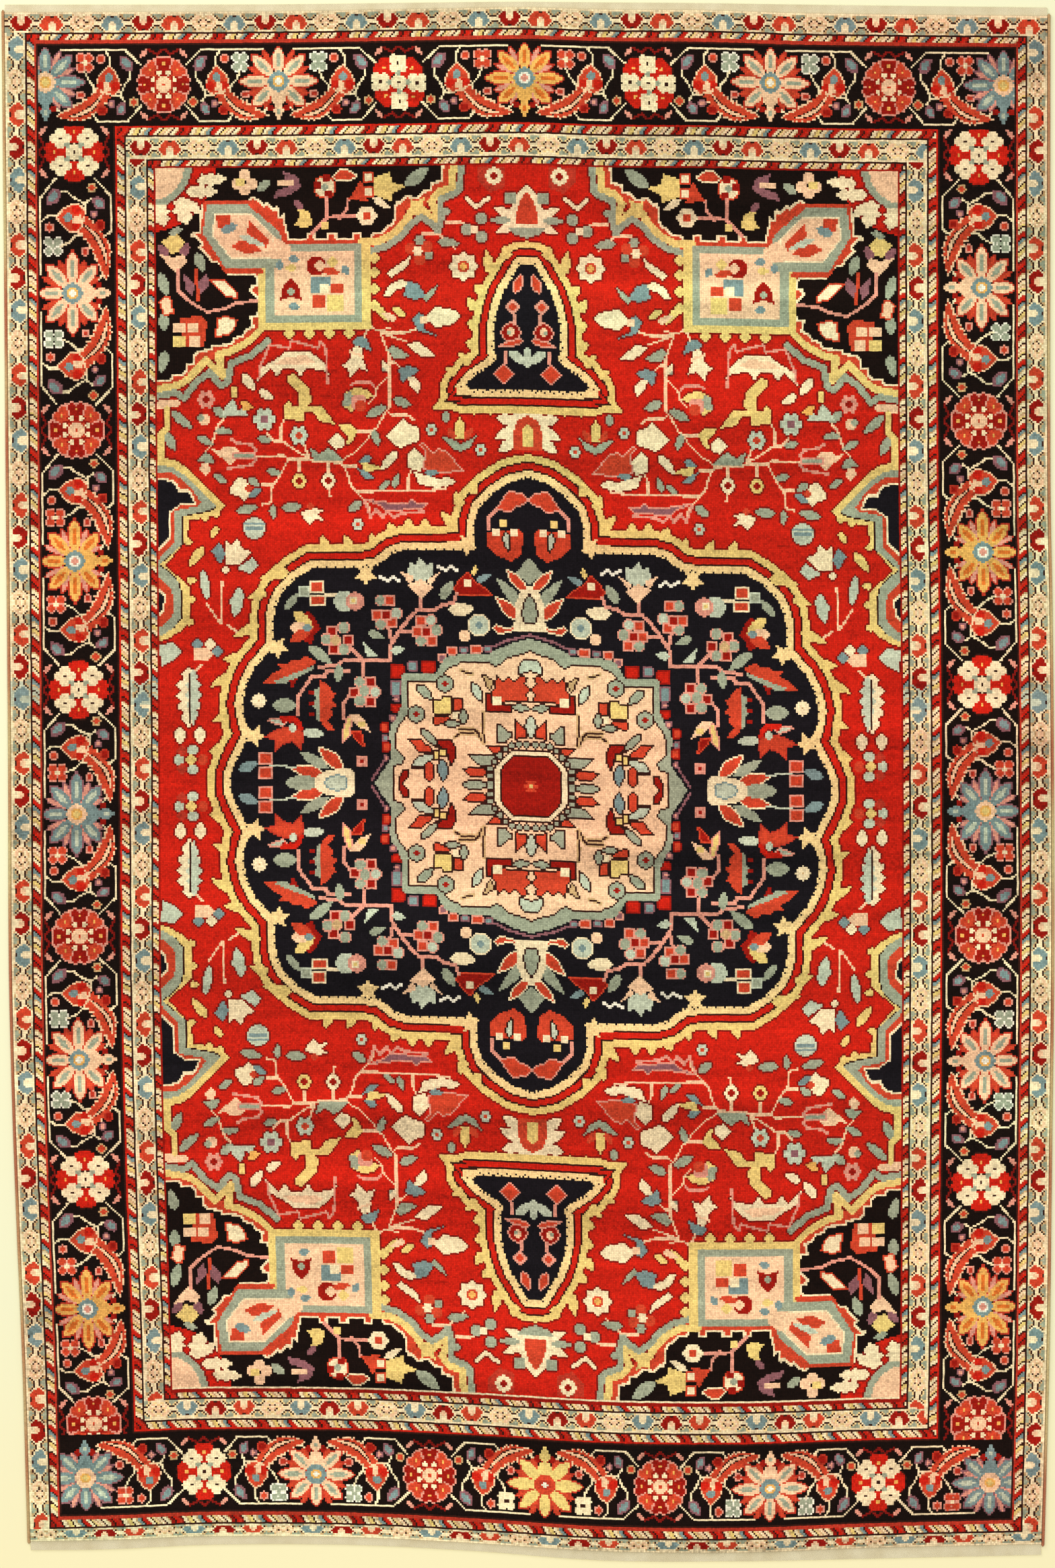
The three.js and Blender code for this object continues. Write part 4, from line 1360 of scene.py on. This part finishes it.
FIELD_ACROSS, FIELD_UP = 204, 339     # what the stripes leave open, each way from the middle
inset_row, inset_column = QUARTER_UP - FIELD_UP, QUARTER_ACROSS - FIELD_ACROSS
open_ways = (middle_row, FIELD_UP), (middle_column, FIELD_ACROSS)
up, across = (slice(middle - reach, middle + reach) for middle, reach in open_ways)
knots[up, across] = field[inset_row:-inset_row, inset_column:-inset_column]
knots = knots[::-1]
counts = np.bincount(knots.ravel(), minlength=len(DYES))
print("knots in each dye:", dict(zip(DYES, counts.tolist())))

# %% [markdown]
# ## The colour of each knot
#
# Yarn dyed in small pots never comes out even, so a plain ground shows soft bands
# across the rug where a new batch begins: that is abrash. The bands follow the rows
# of knots and wander a little. Finer streaks, single tufts and a foot faded by light
# are laid over them. The back of the rug has the same knots, duller because the cotton
# shows between them.

# %% Abrash and the two sides' colours
def to_linear(colour):
    """A screen colour from 0 to 255 as the linear values that materials take."""
    c = np.asarray(colour, float) / 255
    return np.where(c <= 0.04045, c / 12.92, ((c + 0.055) / 1.055) ** 2.4)


def smooth_noise(shape, steps, seed):
    """Random values on a coarse grid, blended smoothly over a finer one; about -1 to 1."""
    draw = np.random.default_rng(seed).normal(0, 0.5, steps)
    rows, columns = (np.linspace(0, n - 1, m) for n, m in zip(steps, shape))
    i, j = rows.astype(int).clip(0, steps[0] - 2), columns.astype(int).clip(0, steps[1] - 2)
    a, b = (rows - i)[:, None], (columns - j)[None]
    a, b = a * a * (3 - 2 * a), b * b * (3 - 2 * b)
    top = draw[i][:, j] * (1 - b) + draw[i][:, j + 1] * b
    low = draw[i + 1][:, j] * (1 - b) + draw[i + 1][:, j + 1] * b
    return top * (1 - a) + low * a


ABRASH, STREAKS, TUFTS = 0.26, 0.14, 0.12     # how far each one lightens or darkens a knot
FADE, FADED_FROM = 0.16, 0.62     # the foot's fading, and how far down the rug it starts
WARMTH = (0.0, 0.12, 0.1)         # how far red, green and blue swing from batch to batch
COTTON, COTTON_SHOWS = (150, 130, 100), 0.2     # between the knots of the back

shade = 1 + ABRASH * smooth_noise((ROWS, COLUMNS), (80, 4), 5)
shade += STREAKS * smooth_noise((ROWS, COLUMNS), (420, 60), 6)
shade += TUFTS * np.random.default_rng(8).normal(0, 1, (ROWS, COLUMNS)).clip(-2, 2)
faded = np.clip((np.arange(ROWS) / ROWS - FADED_FROM) / (1 - FADED_FROM), 0, 1)
shade *= 1 + FADE * faded[:, None]
warmth = 1 + smooth_noise((ROWS, COLUMNS), (22, 3), 9)[..., None] * WARMTH
knot_colours = to_linear(list(DYES.values()))[knots] * shade[..., None] * warmth
back_colours = knot_colours * (1 - COTTON_SHOWS) + to_linear(COTTON) * COTTON_SHOWS
print("knot colours:", knot_colours.shape, "mean", knot_colours.mean((0, 1)).round(3))

# %% [markdown]
# ## From chart to cloth
#
# The pile could be half a million separate knots, but a sheet with one face for
# every eight knots, two across and four up, looks the same and stays light. Each
# face carries the colours of its eight knots as eight attributes, and the wool
# material later picks the right one for each point. The sheet starts as a grid
# primitive over the unit square, so that a face's place gives its knots directly.

# %% A grid with a face for every eight knots
KNOTS_ACROSS, KNOTS_UP = 2, 4
FACES_ACROSS, FACES_UP = COLUMNS // KNOTS_ACROSS, ROWS // KNOTS_UP


def unit_grid(name, columns, rows, low=0.0, high=1.0):
    """A flat grid from 0 to 1 across, and from low to high along."""
    bpy.ops.object.select_all(action="DESELECT")
    bpy.ops.mesh.primitive_grid_add(x_subdivisions=columns, y_subdivisions=rows, size=1)
    piece = bpy.context.object
    piece.name = piece.data.name = name
    points = mesh_points(piece)
    points[:, 0] += 0.5
    points[:, 1] = low + (high - low) * (points[:, 1] + 0.5)
    set_points(piece, points)
    return piece


def mesh_points(piece):
    values = np.empty(len(piece.data.vertices) * 3)
    piece.data.vertices.foreach_get("co", values)
    return values.reshape(-1, 3)


def set_points(piece, points):
    piece.data.vertices.foreach_set("co", np.ascontiguousarray(points, float).ravel())
    piece.data.update()


def face_middles(piece):
    values = np.empty(len(piece.data.polygons) * 3)
    piece.data.polygons.foreach_get("center", values)
    return values.reshape(-1, 3)


# %% Close a sheet underneath
def select_open_edges():
    """In edit mode, select the edges that have a face on one side only."""
    bpy.ops.mesh.select_mode(type="EDGE")
    bpy.ops.mesh.select_all(action="DESELECT")
    bpy.ops.mesh.select_non_manifold(extend=False, use_wire=False, use_multi_face=False,
                                     use_non_contiguous=False, use_verts=False)


def close_underneath(piece):
    """Extrude the rim of a sheet down by one unit and close it with one face."""
    bpy.context.view_layer.objects.active = piece
    bpy.ops.object.mode_set(mode="EDIT")
    select_open_edges()
    bpy.ops.mesh.extrude_edges_move(TRANSFORM_OT_translate={"value": (0, 0, -1)})
    bpy.ops.mesh.edge_face_add()
    bpy.ops.mesh.select_all(action="DESELECT")
    bpy.ops.object.mode_set(mode="OBJECT")


# %% Dye the faces and lay out their maps
MAP_EDGE = 0.02                  # margin of the flat map
MAP_ACROSS, MAP_UP = 0.8, 0.96   # the size of the sheet in it
RIM_FROM, RIM_STEP = 0.84, 0.02  # the four strips of the rim stand beside it
UNDER_CORNER, UNDER_SIZE = (0.93, 0.02), (0.05, 0.08)


def dye_faces(piece, colours, middles):
    """Give every face the colours of its knots, one attribute for each knot in it."""
    column = np.clip((middles[:, 0] * FACES_ACROSS).astype(int), 0, FACES_ACROSS - 1)
    row = np.clip(((1 - middles[:, 1]) * FACES_UP).astype(int), 0, FACES_UP - 1)
    for i in range(KNOTS_ACROSS):
        for j in range(KNOTS_UP):
            own = colours[row * KNOTS_UP + j, column * KNOTS_ACROSS + i]
            attribute = piece.data.attributes.new(f"knot_{i}_{j}", "FLOAT_COLOR", "FACE")
            rgba = np.concatenate([own, np.ones((len(own), 1))], axis=1)
            attribute.data.foreach_set("color", rgba.astype(np.float32).ravel())


def face_maps(piece, middles):
    """Two maps: 'cell' runs from 0 to 1 over each face, 'OFBake' is the sheet laid out flat."""
    mesh = piece.data
    loop_vertex = np.empty(len(mesh.loops), np.int32)
    sizes = np.empty(len(mesh.polygons), np.int32)
    mesh.loops.foreach_get("vertex_index", loop_vertex)
    mesh.polygons.foreach_get("loop_total", sizes)
    point = mesh_points(piece)[loop_vertex]
    middle = middles[np.repeat(np.arange(len(sizes)), sizes)]
    across = point[:, :2] - middle[:, :2]
    cell = np.where(abs(across) < 1e-7, np.where(middle[:, :2] < 0.5, 0.1, 0.9), across > 0)
    x, y, z = middle.T
    side = np.select([x < 0.001, x > 0.999, y < 0.5], [0, 1, 2], 3)
    along = np.where(side < 2, point[:, 1], point[:, 0])
    rim_across = RIM_FROM + RIM_STEP * (side - point[:, 2] / 2)
    upright = np.column_stack([rim_across, MAP_EDGE + MAP_UP * along])
    flat = point[:, :2] * (MAP_ACROSS, MAP_UP) + MAP_EDGE
    under = point[:, :2] * UNDER_SIZE + UNDER_CORNER
    layout = np.where((z < -0.9)[:, None], under, np.where((z < -0.1)[:, None], upright, flat))
    for name, values in [("cell", cell), ("OFBake", layout)]:
        layer = mesh.uv_layers.get(name) or mesh.uv_layers.new(name=name)
        layer.data.foreach_set("uv", values.astype(np.float32).ravel())
    for layer in [x for x in mesh.uv_layers if x.name not in ("cell", "OFBake")]:
        mesh.uv_layers.remove(layer)


# %% [markdown]
# ## The pile
#
# Clipped wool stands about four millimetres above the foundation. The sheet dips at
# its rim, where feet and brooms have rounded the outermost knots, and its surface
# swells and sinks by a few tenths of a millimetre, as a rug that has been rolled
# does. The rim is extruded down and closed, so that the pile is a solid body.
#
# The weaver beat the rows down harder near the foot, so the chart's middle lies a
# little below the true middle. One smooth formula moves each place along the rug.

# %% The pile as one closed sheet
PILE_FOOT = 1.6 * MM         # the knots are tied a little way down into the foundation
SWELL = 0.25 * MM            # how far the pile's surface rises and sinks
SHAKE = 0.22 * MM            # how far a knot strays from its place
DRIFT = 5 / ROWS             # how far the chart's middle lies towards the foot


def laid_place(points):
    """Where the points of a unit sheet, foot at 0 and head at 1, come to lie on the floor."""
    v = 1 - points[:, 1]
    return cloth_point(points[:, 0], v + 4 * DRIFT * v * (1 - v))


def swells(x, y, seed, count=14):
    """A sum of slow waves over the rug, mostly between -2 and 2."""
    draw = np.random.default_rng(seed)
    total = np.zeros_like(x)
    for _ in range(count):
        angle = draw.uniform(0, 2 * np.pi)
        rate = draw.uniform(4, 28)     # radians a metre
        phase = draw.uniform(0, 2 * np.pi)
        total += np.sin(rate * (np.cos(angle) * x + np.sin(angle) * y) + phase)
    return total / math.sqrt(count / 2)


pile = unit_grid("knotted_pile", FACES_ACROSS, FACES_UP)
close_underneath(pile)
middles = face_middles(pile)
dye_faces(pile, knot_colours, middles)
face_maps(pile, middles)
points = mesh_points(pile)
inner = (points[:, :2] > 1e-6).all(axis=1) & (points[:, :2] < 1 - 1e-6).all(axis=1)
strays = np.random.default_rng(11).normal(0, SHAKE, (len(points), 2))
place = laid_place(points) + strays * inner[:, None]
surface = PILE_TOP - SWELL + SWELL / 2 * np.clip(swells(*place.T, seed=3), -2, 2)
height = np.where(inner, surface, shoulder)
height = np.where(points[:, 2] < -0.5, PILE_FOOT, height)
set_points(pile, np.column_stack([place, height]))
print("pile:", len(pile.data.vertices), "vertices,", len(pile.data.polygons), "faces")

# %% [markdown]
# ## The foundation
#
# Under the pile lies the cotton that the knots are tied to. On the back every knot
# shows as a small nub, so the underside carries the same pattern, flatter and a
# little paler. Past the pile the warps and wefts go on as a plain woven strip at
# each end. The sheet is woven upside down here: its grid is the underside, and the
# rim is extruded up to the top of the cotton ends.

# %% The cotton foundation with its plain ends
END_ROWS = 3                 # rows of faces in each plain end
FLATWEAVE_ROUNDING = 0.4 * MM
end_step = END_ROWS / FACES_UP


def end_rim(end):
    """A plain cotton end's outer edge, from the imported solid: 1 for the head, -1 for the foot."""
    upright_top = FLATWEAVE - FLATWEAVE_ROUNDING
    low = coordinates[abs(coordinates[:, 2] - upright_top) < 0.02 * MM][:, :2]
    pile_edge = HEAD if end > 0 else FOOT
    past_pile = (low[:, 1] - np.interp(low[:, 0], *pile_edge.T)) * end > 4 * MM
    row = np.unique(low[past_pile].round(6), axis=0)
    return row[np.argsort(row[:, 0])]


def cotton_place(points):
    """The pile's own places, and beyond it the plain ends out to the solid's edge."""
    clipped = points.copy()
    clipped[:, 1] = np.clip(points[:, 1], 0, 1)
    place = laid_place(clipped)
    for end, past in [(1, points[:, 1] - 1), (-1, -points[:, 1])]:
        rim_row = end_rim(end)
        beyond = past > 1e-9
        edge = np.interp(place[beyond, 0], rim_row[:, 0], rim_row[:, 1])
        place[beyond, 1] += (edge - place[beyond, 1]) * past[beyond] / end_step
    return place


foundation = unit_grid("cotton_foundation", FACES_ACROSS, FACES_UP + 2 * END_ROWS,
                       -end_step, 1 + end_step)
close_underneath(foundation)
middles = face_middles(foundation)
dye_faces(foundation, back_colours, middles)
face_maps(foundation, middles)
plain_end = (middles[:, 1] < 0) | (middles[:, 1] > 1) | (middles[:, 2] < -0.1)
points = mesh_points(foundation)
height = np.where(points[:, 2] < -0.5, FLATWEAVE, 0.0)
set_points(foundation, np.column_stack([cotton_place(points), height]))
foundation.data.flip_normals()
print("foundation:", len(plain_end), "faces,", int(plain_end.sum()), "of them plain cotton")

# %% [markdown]
# ## The overcast sides
#
# Along each side the outermost warps are bundled and wrapped round and round with
# wool. A spiral curve with a bevel would do, but its turns would have to touch
# exactly. A tube whose thickness swells once for every turn of the yarn, and whose
# turns lean a little, has the same look with no gaps. It is a grid, rolled up.

# %% Two overcast side cords
CORD_WIDTH, CORD_GAP = 4.5 * MM, 0.3 * MM
CORD_OVERRUN = 4 * MM        # past the pile at each end
YARN = 2.4 * MM              # one turn of the wrapping yarn
YARN_LEAN = 0.8              # turns that the yarn leans by on its way round
CORD_SIDES, STEPS_A_TURN = 10, 3
CORE, WRAP, UNEVEN = 0.93, 0.06, 0.012     # shares of the radius
TAPER, TIP = 2 * MM, 0.35    # where the cord thins out at its ends, and to what share
SETTLED = 0.96               # how high the middle stands, as a share of the radius


def overcast_side(name, edge, outwards):
    """Wrap yarn along one side edge; outwards is -1 at the left and 1 at the right."""
    low, high = edge[0, 1] - CORD_OVERRUN, edge[-1, 1] + CORD_OVERRUN
    turns = round((high - low) / YARN)
    cord = unit_grid(name, CORD_SIDES, turns * STEPS_A_TURN)
    u, v, _ = mesh_points(cord).T
    angle = 2 * np.pi * u
    y = low + (high - low) * v
    x = smooth_at(edge, 1, y) + outwards * (CORD_GAP + CORD_WIDTH / 2)
    wrap = np.cos(2 * np.pi * (v * turns + YARN_LEAN * u))
    unevenness = swells(y * 6, y * 0, seed=21 + outwards, count=10)
    radius = CORD_WIDTH / 2 * (CORE + WRAP * wrap + UNEVEN * unevenness)
    radius *= np.clip(np.minimum(v, 1 - v) * (high - low) / TAPER, TIP, 1)
    z = np.maximum(CORD_WIDTH / 2 * SETTLED - radius * np.cos(angle), 0.0)
    set_points(cord, np.column_stack([x + radius * np.sin(angle), y, z]))
    bpy.ops.object.mode_set(mode="EDIT")
    bpy.ops.mesh.select_all(action="SELECT")
    bpy.ops.mesh.remove_doubles(threshold=0.005 * MM)
    select_open_edges()
    bpy.ops.mesh.edge_face_add()
    bpy.ops.mesh.select_all(action="SELECT")
    bpy.ops.mesh.normals_make_consistent(inside=False)
    bpy.ops.object.mode_set(mode="OBJECT")
    bpy.ops.object.shade_smooth()
    print(name, turns, "turns,", len(cord.data.polygons), "faces")
    return cord


side_left = overcast_side("overcast_left", LEFT, -1)
side_right = overcast_side("overcast_right", RIGHT, 1)

# %% [markdown]
# ## Finishes
#
# A node material is a small wiring diagram. Short methods keep it readable: one adds
# a node with its settings and wires its inputs, which may be other nodes' outputs or
# plain numbers, and the rest add the few kinds of node that recur.

# %% Helpers for wiring materials
MIX_A, MIX_B, MIX_RESULT = 6, 7, 2     # a colour mix's sockets
OBJECT_PLACE = 3                       # the Object output of texture coordinates


class Finish:
    """A material and short ways to add nodes to it."""

    def __init__(self, name):
        self.material = bpy.data.materials.new(name)
        self.material.use_nodes = True
        self.nodes, self.links = self.material.node_tree.nodes, self.material.node_tree.links
        self.shader = self.nodes["Principled BSDF"]

    def wire(self, socket, value):
        """Link another node's output to a socket, or set a plain value."""
        if isinstance(value, bpy.types.NodeSocket):
            self.links.new(value, socket)
        else:
            socket.default_value = value

    def node(self, kind, inputs=None, output=0, **settings):
        """Add a node, wire its inputs and give back one of its outputs."""
        made = self.nodes.new(kind)
        for name, value in settings.items():
            setattr(made, name, value)
        for key, value in (inputs or {}).items():
            self.wire(made.inputs[key], value)
        return made.outputs[output]

    def place(self):
        """Where a point is, in metres from the middle of the rug."""
        return self.node("ShaderNodeTexCoord", output=OBJECT_PLACE)

    def math(self, operation, a, b=0.0, clamp=False):
        return self.node("ShaderNodeMath", {0: a, 1: b}, operation=operation, use_clamp=clamp)

    def mix(self, factor, a, b, blend="MIX"):
        return self.node("ShaderNodeMix", {0: factor, MIX_A: a, MIX_B: b}, output=MIX_RESULT,
                         data_type="RGBA", blend_type=blend)

    def shaded(self, colour, shade):
        """A colour made lighter or darker by a factor."""
        gray = self.node("ShaderNodeCombineColor", {0: shade, 1: shade, 2: shade})
        return self.mix(1.0, colour, gray, blend="MULTIPLY")

    def noise(self, scale, vector, detail=2.0, roughness=0.5):
        return self.node("ShaderNodeTexNoise", {"Scale": scale, "Vector": vector, "Detail": detail,
                                                "Roughness": roughness})

    def surface(self, inputs):
        """Wire or set the shader's own inputs, and give back the finished material."""
        for name, value in inputs.items():
            self.wire(self.shader.inputs[name], value)
        return self.material

    def spread(self, value, low, high, to_low=0.0, to_high=1.0):
        """Stretch the values between low and high to another range, and hold those beyond."""
        return self.node("ShaderNodeMapRange", {0: value, 1: low, 2: high, 3: to_low, 4: to_high})

    def bump(self, height, distance, strength, normal=None):
        inputs = {"Height": height, "Distance": distance, "Strength": strength}
        if normal is not None:
            inputs["Normal"] = normal
        return self.node("ShaderNodeBump", inputs)


# %% [markdown]
# ### Knotted wool
#
# The face's own map says which of its eight knots a point is in, and a chain of
# mixes picks that knot's colour. The same map gives each knot its domed tip for the
# bump, and darkens each knot towards its edges as painted shade in the hollows
# between knots. Over this lie the things that stop it from looking printed: every
# tuft is a touch lighter or darker, and fibres show at the finest scale.

# %% Wool that shows its knots
def knotted_wool(name, dome, fibre, roughness, sheen):
    """Wool whose knots are domed by one height and whose fibres stand up by another."""
    f = Finish(name)
    cell = f.node("ShaderNodeUVMap", uv_map="cell")
    chart = f.node("ShaderNodeUVMap", uv_map="OFBake")
    at = f.place()
    split = f.node("ShaderNodeSeparateXYZ", {0: cell})
    u, v = split, split.node.outputs[1]
    picked = None
    for i in range(KNOTS_ACROSS):
        column = None
        for j in range(KNOTS_UP):
            own = f.node("ShaderNodeAttribute", attribute_name=f"knot_{i}_{j}",
                         attribute_type="GEOMETRY")
            over = f.math("LESS_THAN", v, 1 - j / KNOTS_UP)
            column = own if column is None else f.mix(over, column, own)
        past = f.math("GREATER_THAN", u, i / KNOTS_ACROSS)
        picked = column if picked is None else f.mix(past, picked, column)
    along = f.math("MULTIPLY", u, KNOTS_ACROSS)
    up = f.math("MULTIPLY", v, KNOTS_UP)
    tips = []
    for value in (along, up):
        from_middle = f.math("ABSOLUTE", f.math("SUBTRACT", f.math("FRACT", value), 0.5))
        tips.append(f.math("POWER", f.math("MULTIPLY", from_middle, 2.0), 2.5))
    hollow = f.math("MULTIPLY", f.math("ADD", *tips), 0.5, clamp=True)
    knots_in_map = (COLUMNS / MAP_ACROSS, ROWS / MAP_UP, 1)
    knot_place = f.node("ShaderNodeVectorMath", {0: chart, 1: knots_in_map}, operation="MULTIPLY")
    knot_number = f.node("ShaderNodeVectorMath", {0: knot_place}, operation="FLOOR")
    own_shade = f.node("ShaderNodeTexWhiteNoise", {"Vector": knot_number})
    fibres = f.noise(1400, at, detail=3.0, roughness=0.7)
    clouds = f.noise(9, at, detail=4.0)
    shade = f.spread(own_shade, 0, 1, 0.9, 1.06)
    shade = f.math("ADD", shade, f.spread(fibres, 0.3, 0.7, -0.08, 0.08))
    shade = f.math("ADD", shade, f.spread(clouds, 0.3, 0.7, -0.035, 0.035))
    # painted shade: each knot's colour darkens towards its edges, where the hollows between knots
    # lie
    shade = f.math("MULTIPLY", shade, f.spread(hollow, 0.2, 1.0, 1.0, 0.7))
    height = f.math("SUBTRACT", f.math("MULTIPLY", own_shade, 0.35), hollow)
    normal = f.bump(fibres, fibre, 0.6, f.bump(height, dome, 0.8))
    return f.surface({"Base Color": f.shaded(picked, shade), "Normal": normal,
                      "Roughness": roughness, "Specular IOR Level": 0.08,
                      "Sheen Weight": sheen, "Sheen Roughness": 0.45})


wool = knotted_wool("clipped_wool_pile", dome=0.7 * MM, fibre=0.35 * MM, roughness=0.9, sheen=0.03)
knot_backs = knotted_wool("knot_backs", dome=0.5 * MM, fibre=0.1 * MM, roughness=0.95, sheen=0.0)
pile.data.materials.append(wool)
print("wool nodes:", len(wool.node_tree.nodes))

# %% [markdown]
# ### Plain cotton
#
# The ends are woven one over, one under, in undyed cotton that has greyed a little.
# A sine wave across, times another along, gives the weave its overs and unders.

# %% Cotton ends
WARP_PITCH, WEFT_PITCH = 2.4 * MM, 1.6 * MM     # one over and one under


def plain_cotton():
    f = Finish("plain_cotton_weave")
    at = f.place()
    split = f.node("ShaderNodeSeparateXYZ", {0: at})
    x, y = split, split.node.outputs[1]
    warp = f.math("SINE", f.math("MULTIPLY", x, 2 * math.pi / WARP_PITCH))
    weft = f.math("SINE", f.math("MULTIPLY", y, 2 * math.pi / WEFT_PITCH))
    weave = f.math("MULTIPLY", warp, weft)
    grime = f.noise(35, at, detail=4.0)
    colour = f.mix(f.spread(grime, 0.35, 0.7), (0.90, 0.84, 0.60, 1), (0.78, 0.70, 0.46, 1))
    colour = f.mix(f.spread(weave, -1, 1, 0.0, 0.16), colour, (0.42, 0.34, 0.22, 1))
    return f.surface({"Base Color": colour, "Normal": f.bump(weave, 0.5 * MM, 0.8),
                      "Roughness": 0.92, "Sheen Weight": 0.08})


cotton = plain_cotton()
foundation.data.materials.append(knot_backs)
foundation.data.materials.append(cotton)
foundation.data.polygons.foreach_set("material_index", plain_end.astype(np.int32))

# %% [markdown]
# ### Overcasting wool
#
# The side yarn was changed whenever a ball ran out, so its colour goes from rust to
# brown and tan in stretches. Slow noise along the rug chooses between them.

# %% Overcast yarn
def overcast_yarn():
    f = Finish("overcast_side_wool")
    at = f.place()
    slow = f.node("ShaderNodeVectorMath", {0: at, 1: (0.6, 5.0, 0.0)}, operation="MULTIPLY")
    stretches = f.noise(1.0, slow, detail=1.0)
    turns = f.noise(420, at, detail=2.0)
    ramp = f.node("ShaderNodeValToRGB", {0: stretches})
    stops = ramp.node.color_ramp.elements
    stops.new(0.47)
    for stop, position, colour in zip(stops, (0.38, 0.47, 0.58), [
            (0.40, 0.13, 0.06, 1), (0.46, 0.24, 0.11, 1), (0.52, 0.42, 0.20, 1)]):
        stop.position, stop.color = position, colour
    shade = f.spread(turns, 0.3, 0.7, 0.8, 1.15)
    normal = f.bump(f.noise(2200, at, detail=3.0), 0.2 * MM, 0.6)
    return f.surface({"Base Color": f.shaded(ramp, shade), "Normal": normal,
                      "Roughness": 0.9, "Sheen Weight": 0.1})


yarn = overcast_yarn()
for side in (side_left, side_right):
    side.data.materials.append(yarn)

# %% [markdown]
# ## Floor and light
#
# A wide pale floor and two large soft lights: one high above, and one from the
# head's left for a little modelling across the pile. The world fills in the rest.

# %% Floor, lights and world
bpy.ops.object.select_all(action="DESELECT")
bpy.ops.mesh.primitive_plane_add(size=30, location=(0, 0, -0.05 * MM))
floor = bpy.context.object
floor.name = "studio_floor"
paper = Finish("pale_floor")
place = paper.node("ShaderNodeSeparateXYZ", {0: paper.place()})
toward_head = paper.spread(place.node.outputs[1], -1.15, -0.7)     # metres along the rug
tone = paper.mix(toward_head, (0.92, 0.86, 0.54, 1), (0.84, 0.86, 0.62, 1))
floor.data.materials.append(paper.surface({"Base Color": tone, "Roughness": 0.9}))

for name, place, size, power in [
    ("sky_panel", (0, 0, 3.6), 4.5, 95), ("head_panel", (-2.2, 2.6, 2.2), 1.6, 45)
]:
    bpy.ops.object.light_add(type="AREA", location=place)
    lamp = bpy.context.object
    lamp.name = name
    lamp.data.size, lamp.data.energy = size, power
    lamp.data.color = (1, 0.95, 0.87)
    direction = -lamp.location
    lamp.rotation_euler = direction.to_track_quat("-Z", "Y").to_euler()

world = bpy.data.worlds.new("soft_room")
bpy.context.scene.world = world
world.use_nodes = True
world.node_tree.nodes["Background"].inputs["Color"].default_value = (1, 0.94, 0.84, 1)
world.node_tree.nodes["Background"].inputs["Strength"].default_value = 0.55
bpy.context.scene.view_settings.view_transform = "Standard"

# %% [markdown]
# ## Handing over
#
# Every piece rides on the one body, and the imported solid that it stands for is
# hidden.

# %% What each piece is
for piece, node, slot in [
    (pile, "rug_body", "wool_pile"), (foundation, "rug_body", "wool_pile"),
    (side_left, "selvedge_left", "edge_wool"), (side_right, "selvedge_right", "edge_wool"),
]:
    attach(piece, "root")
    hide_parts(node)
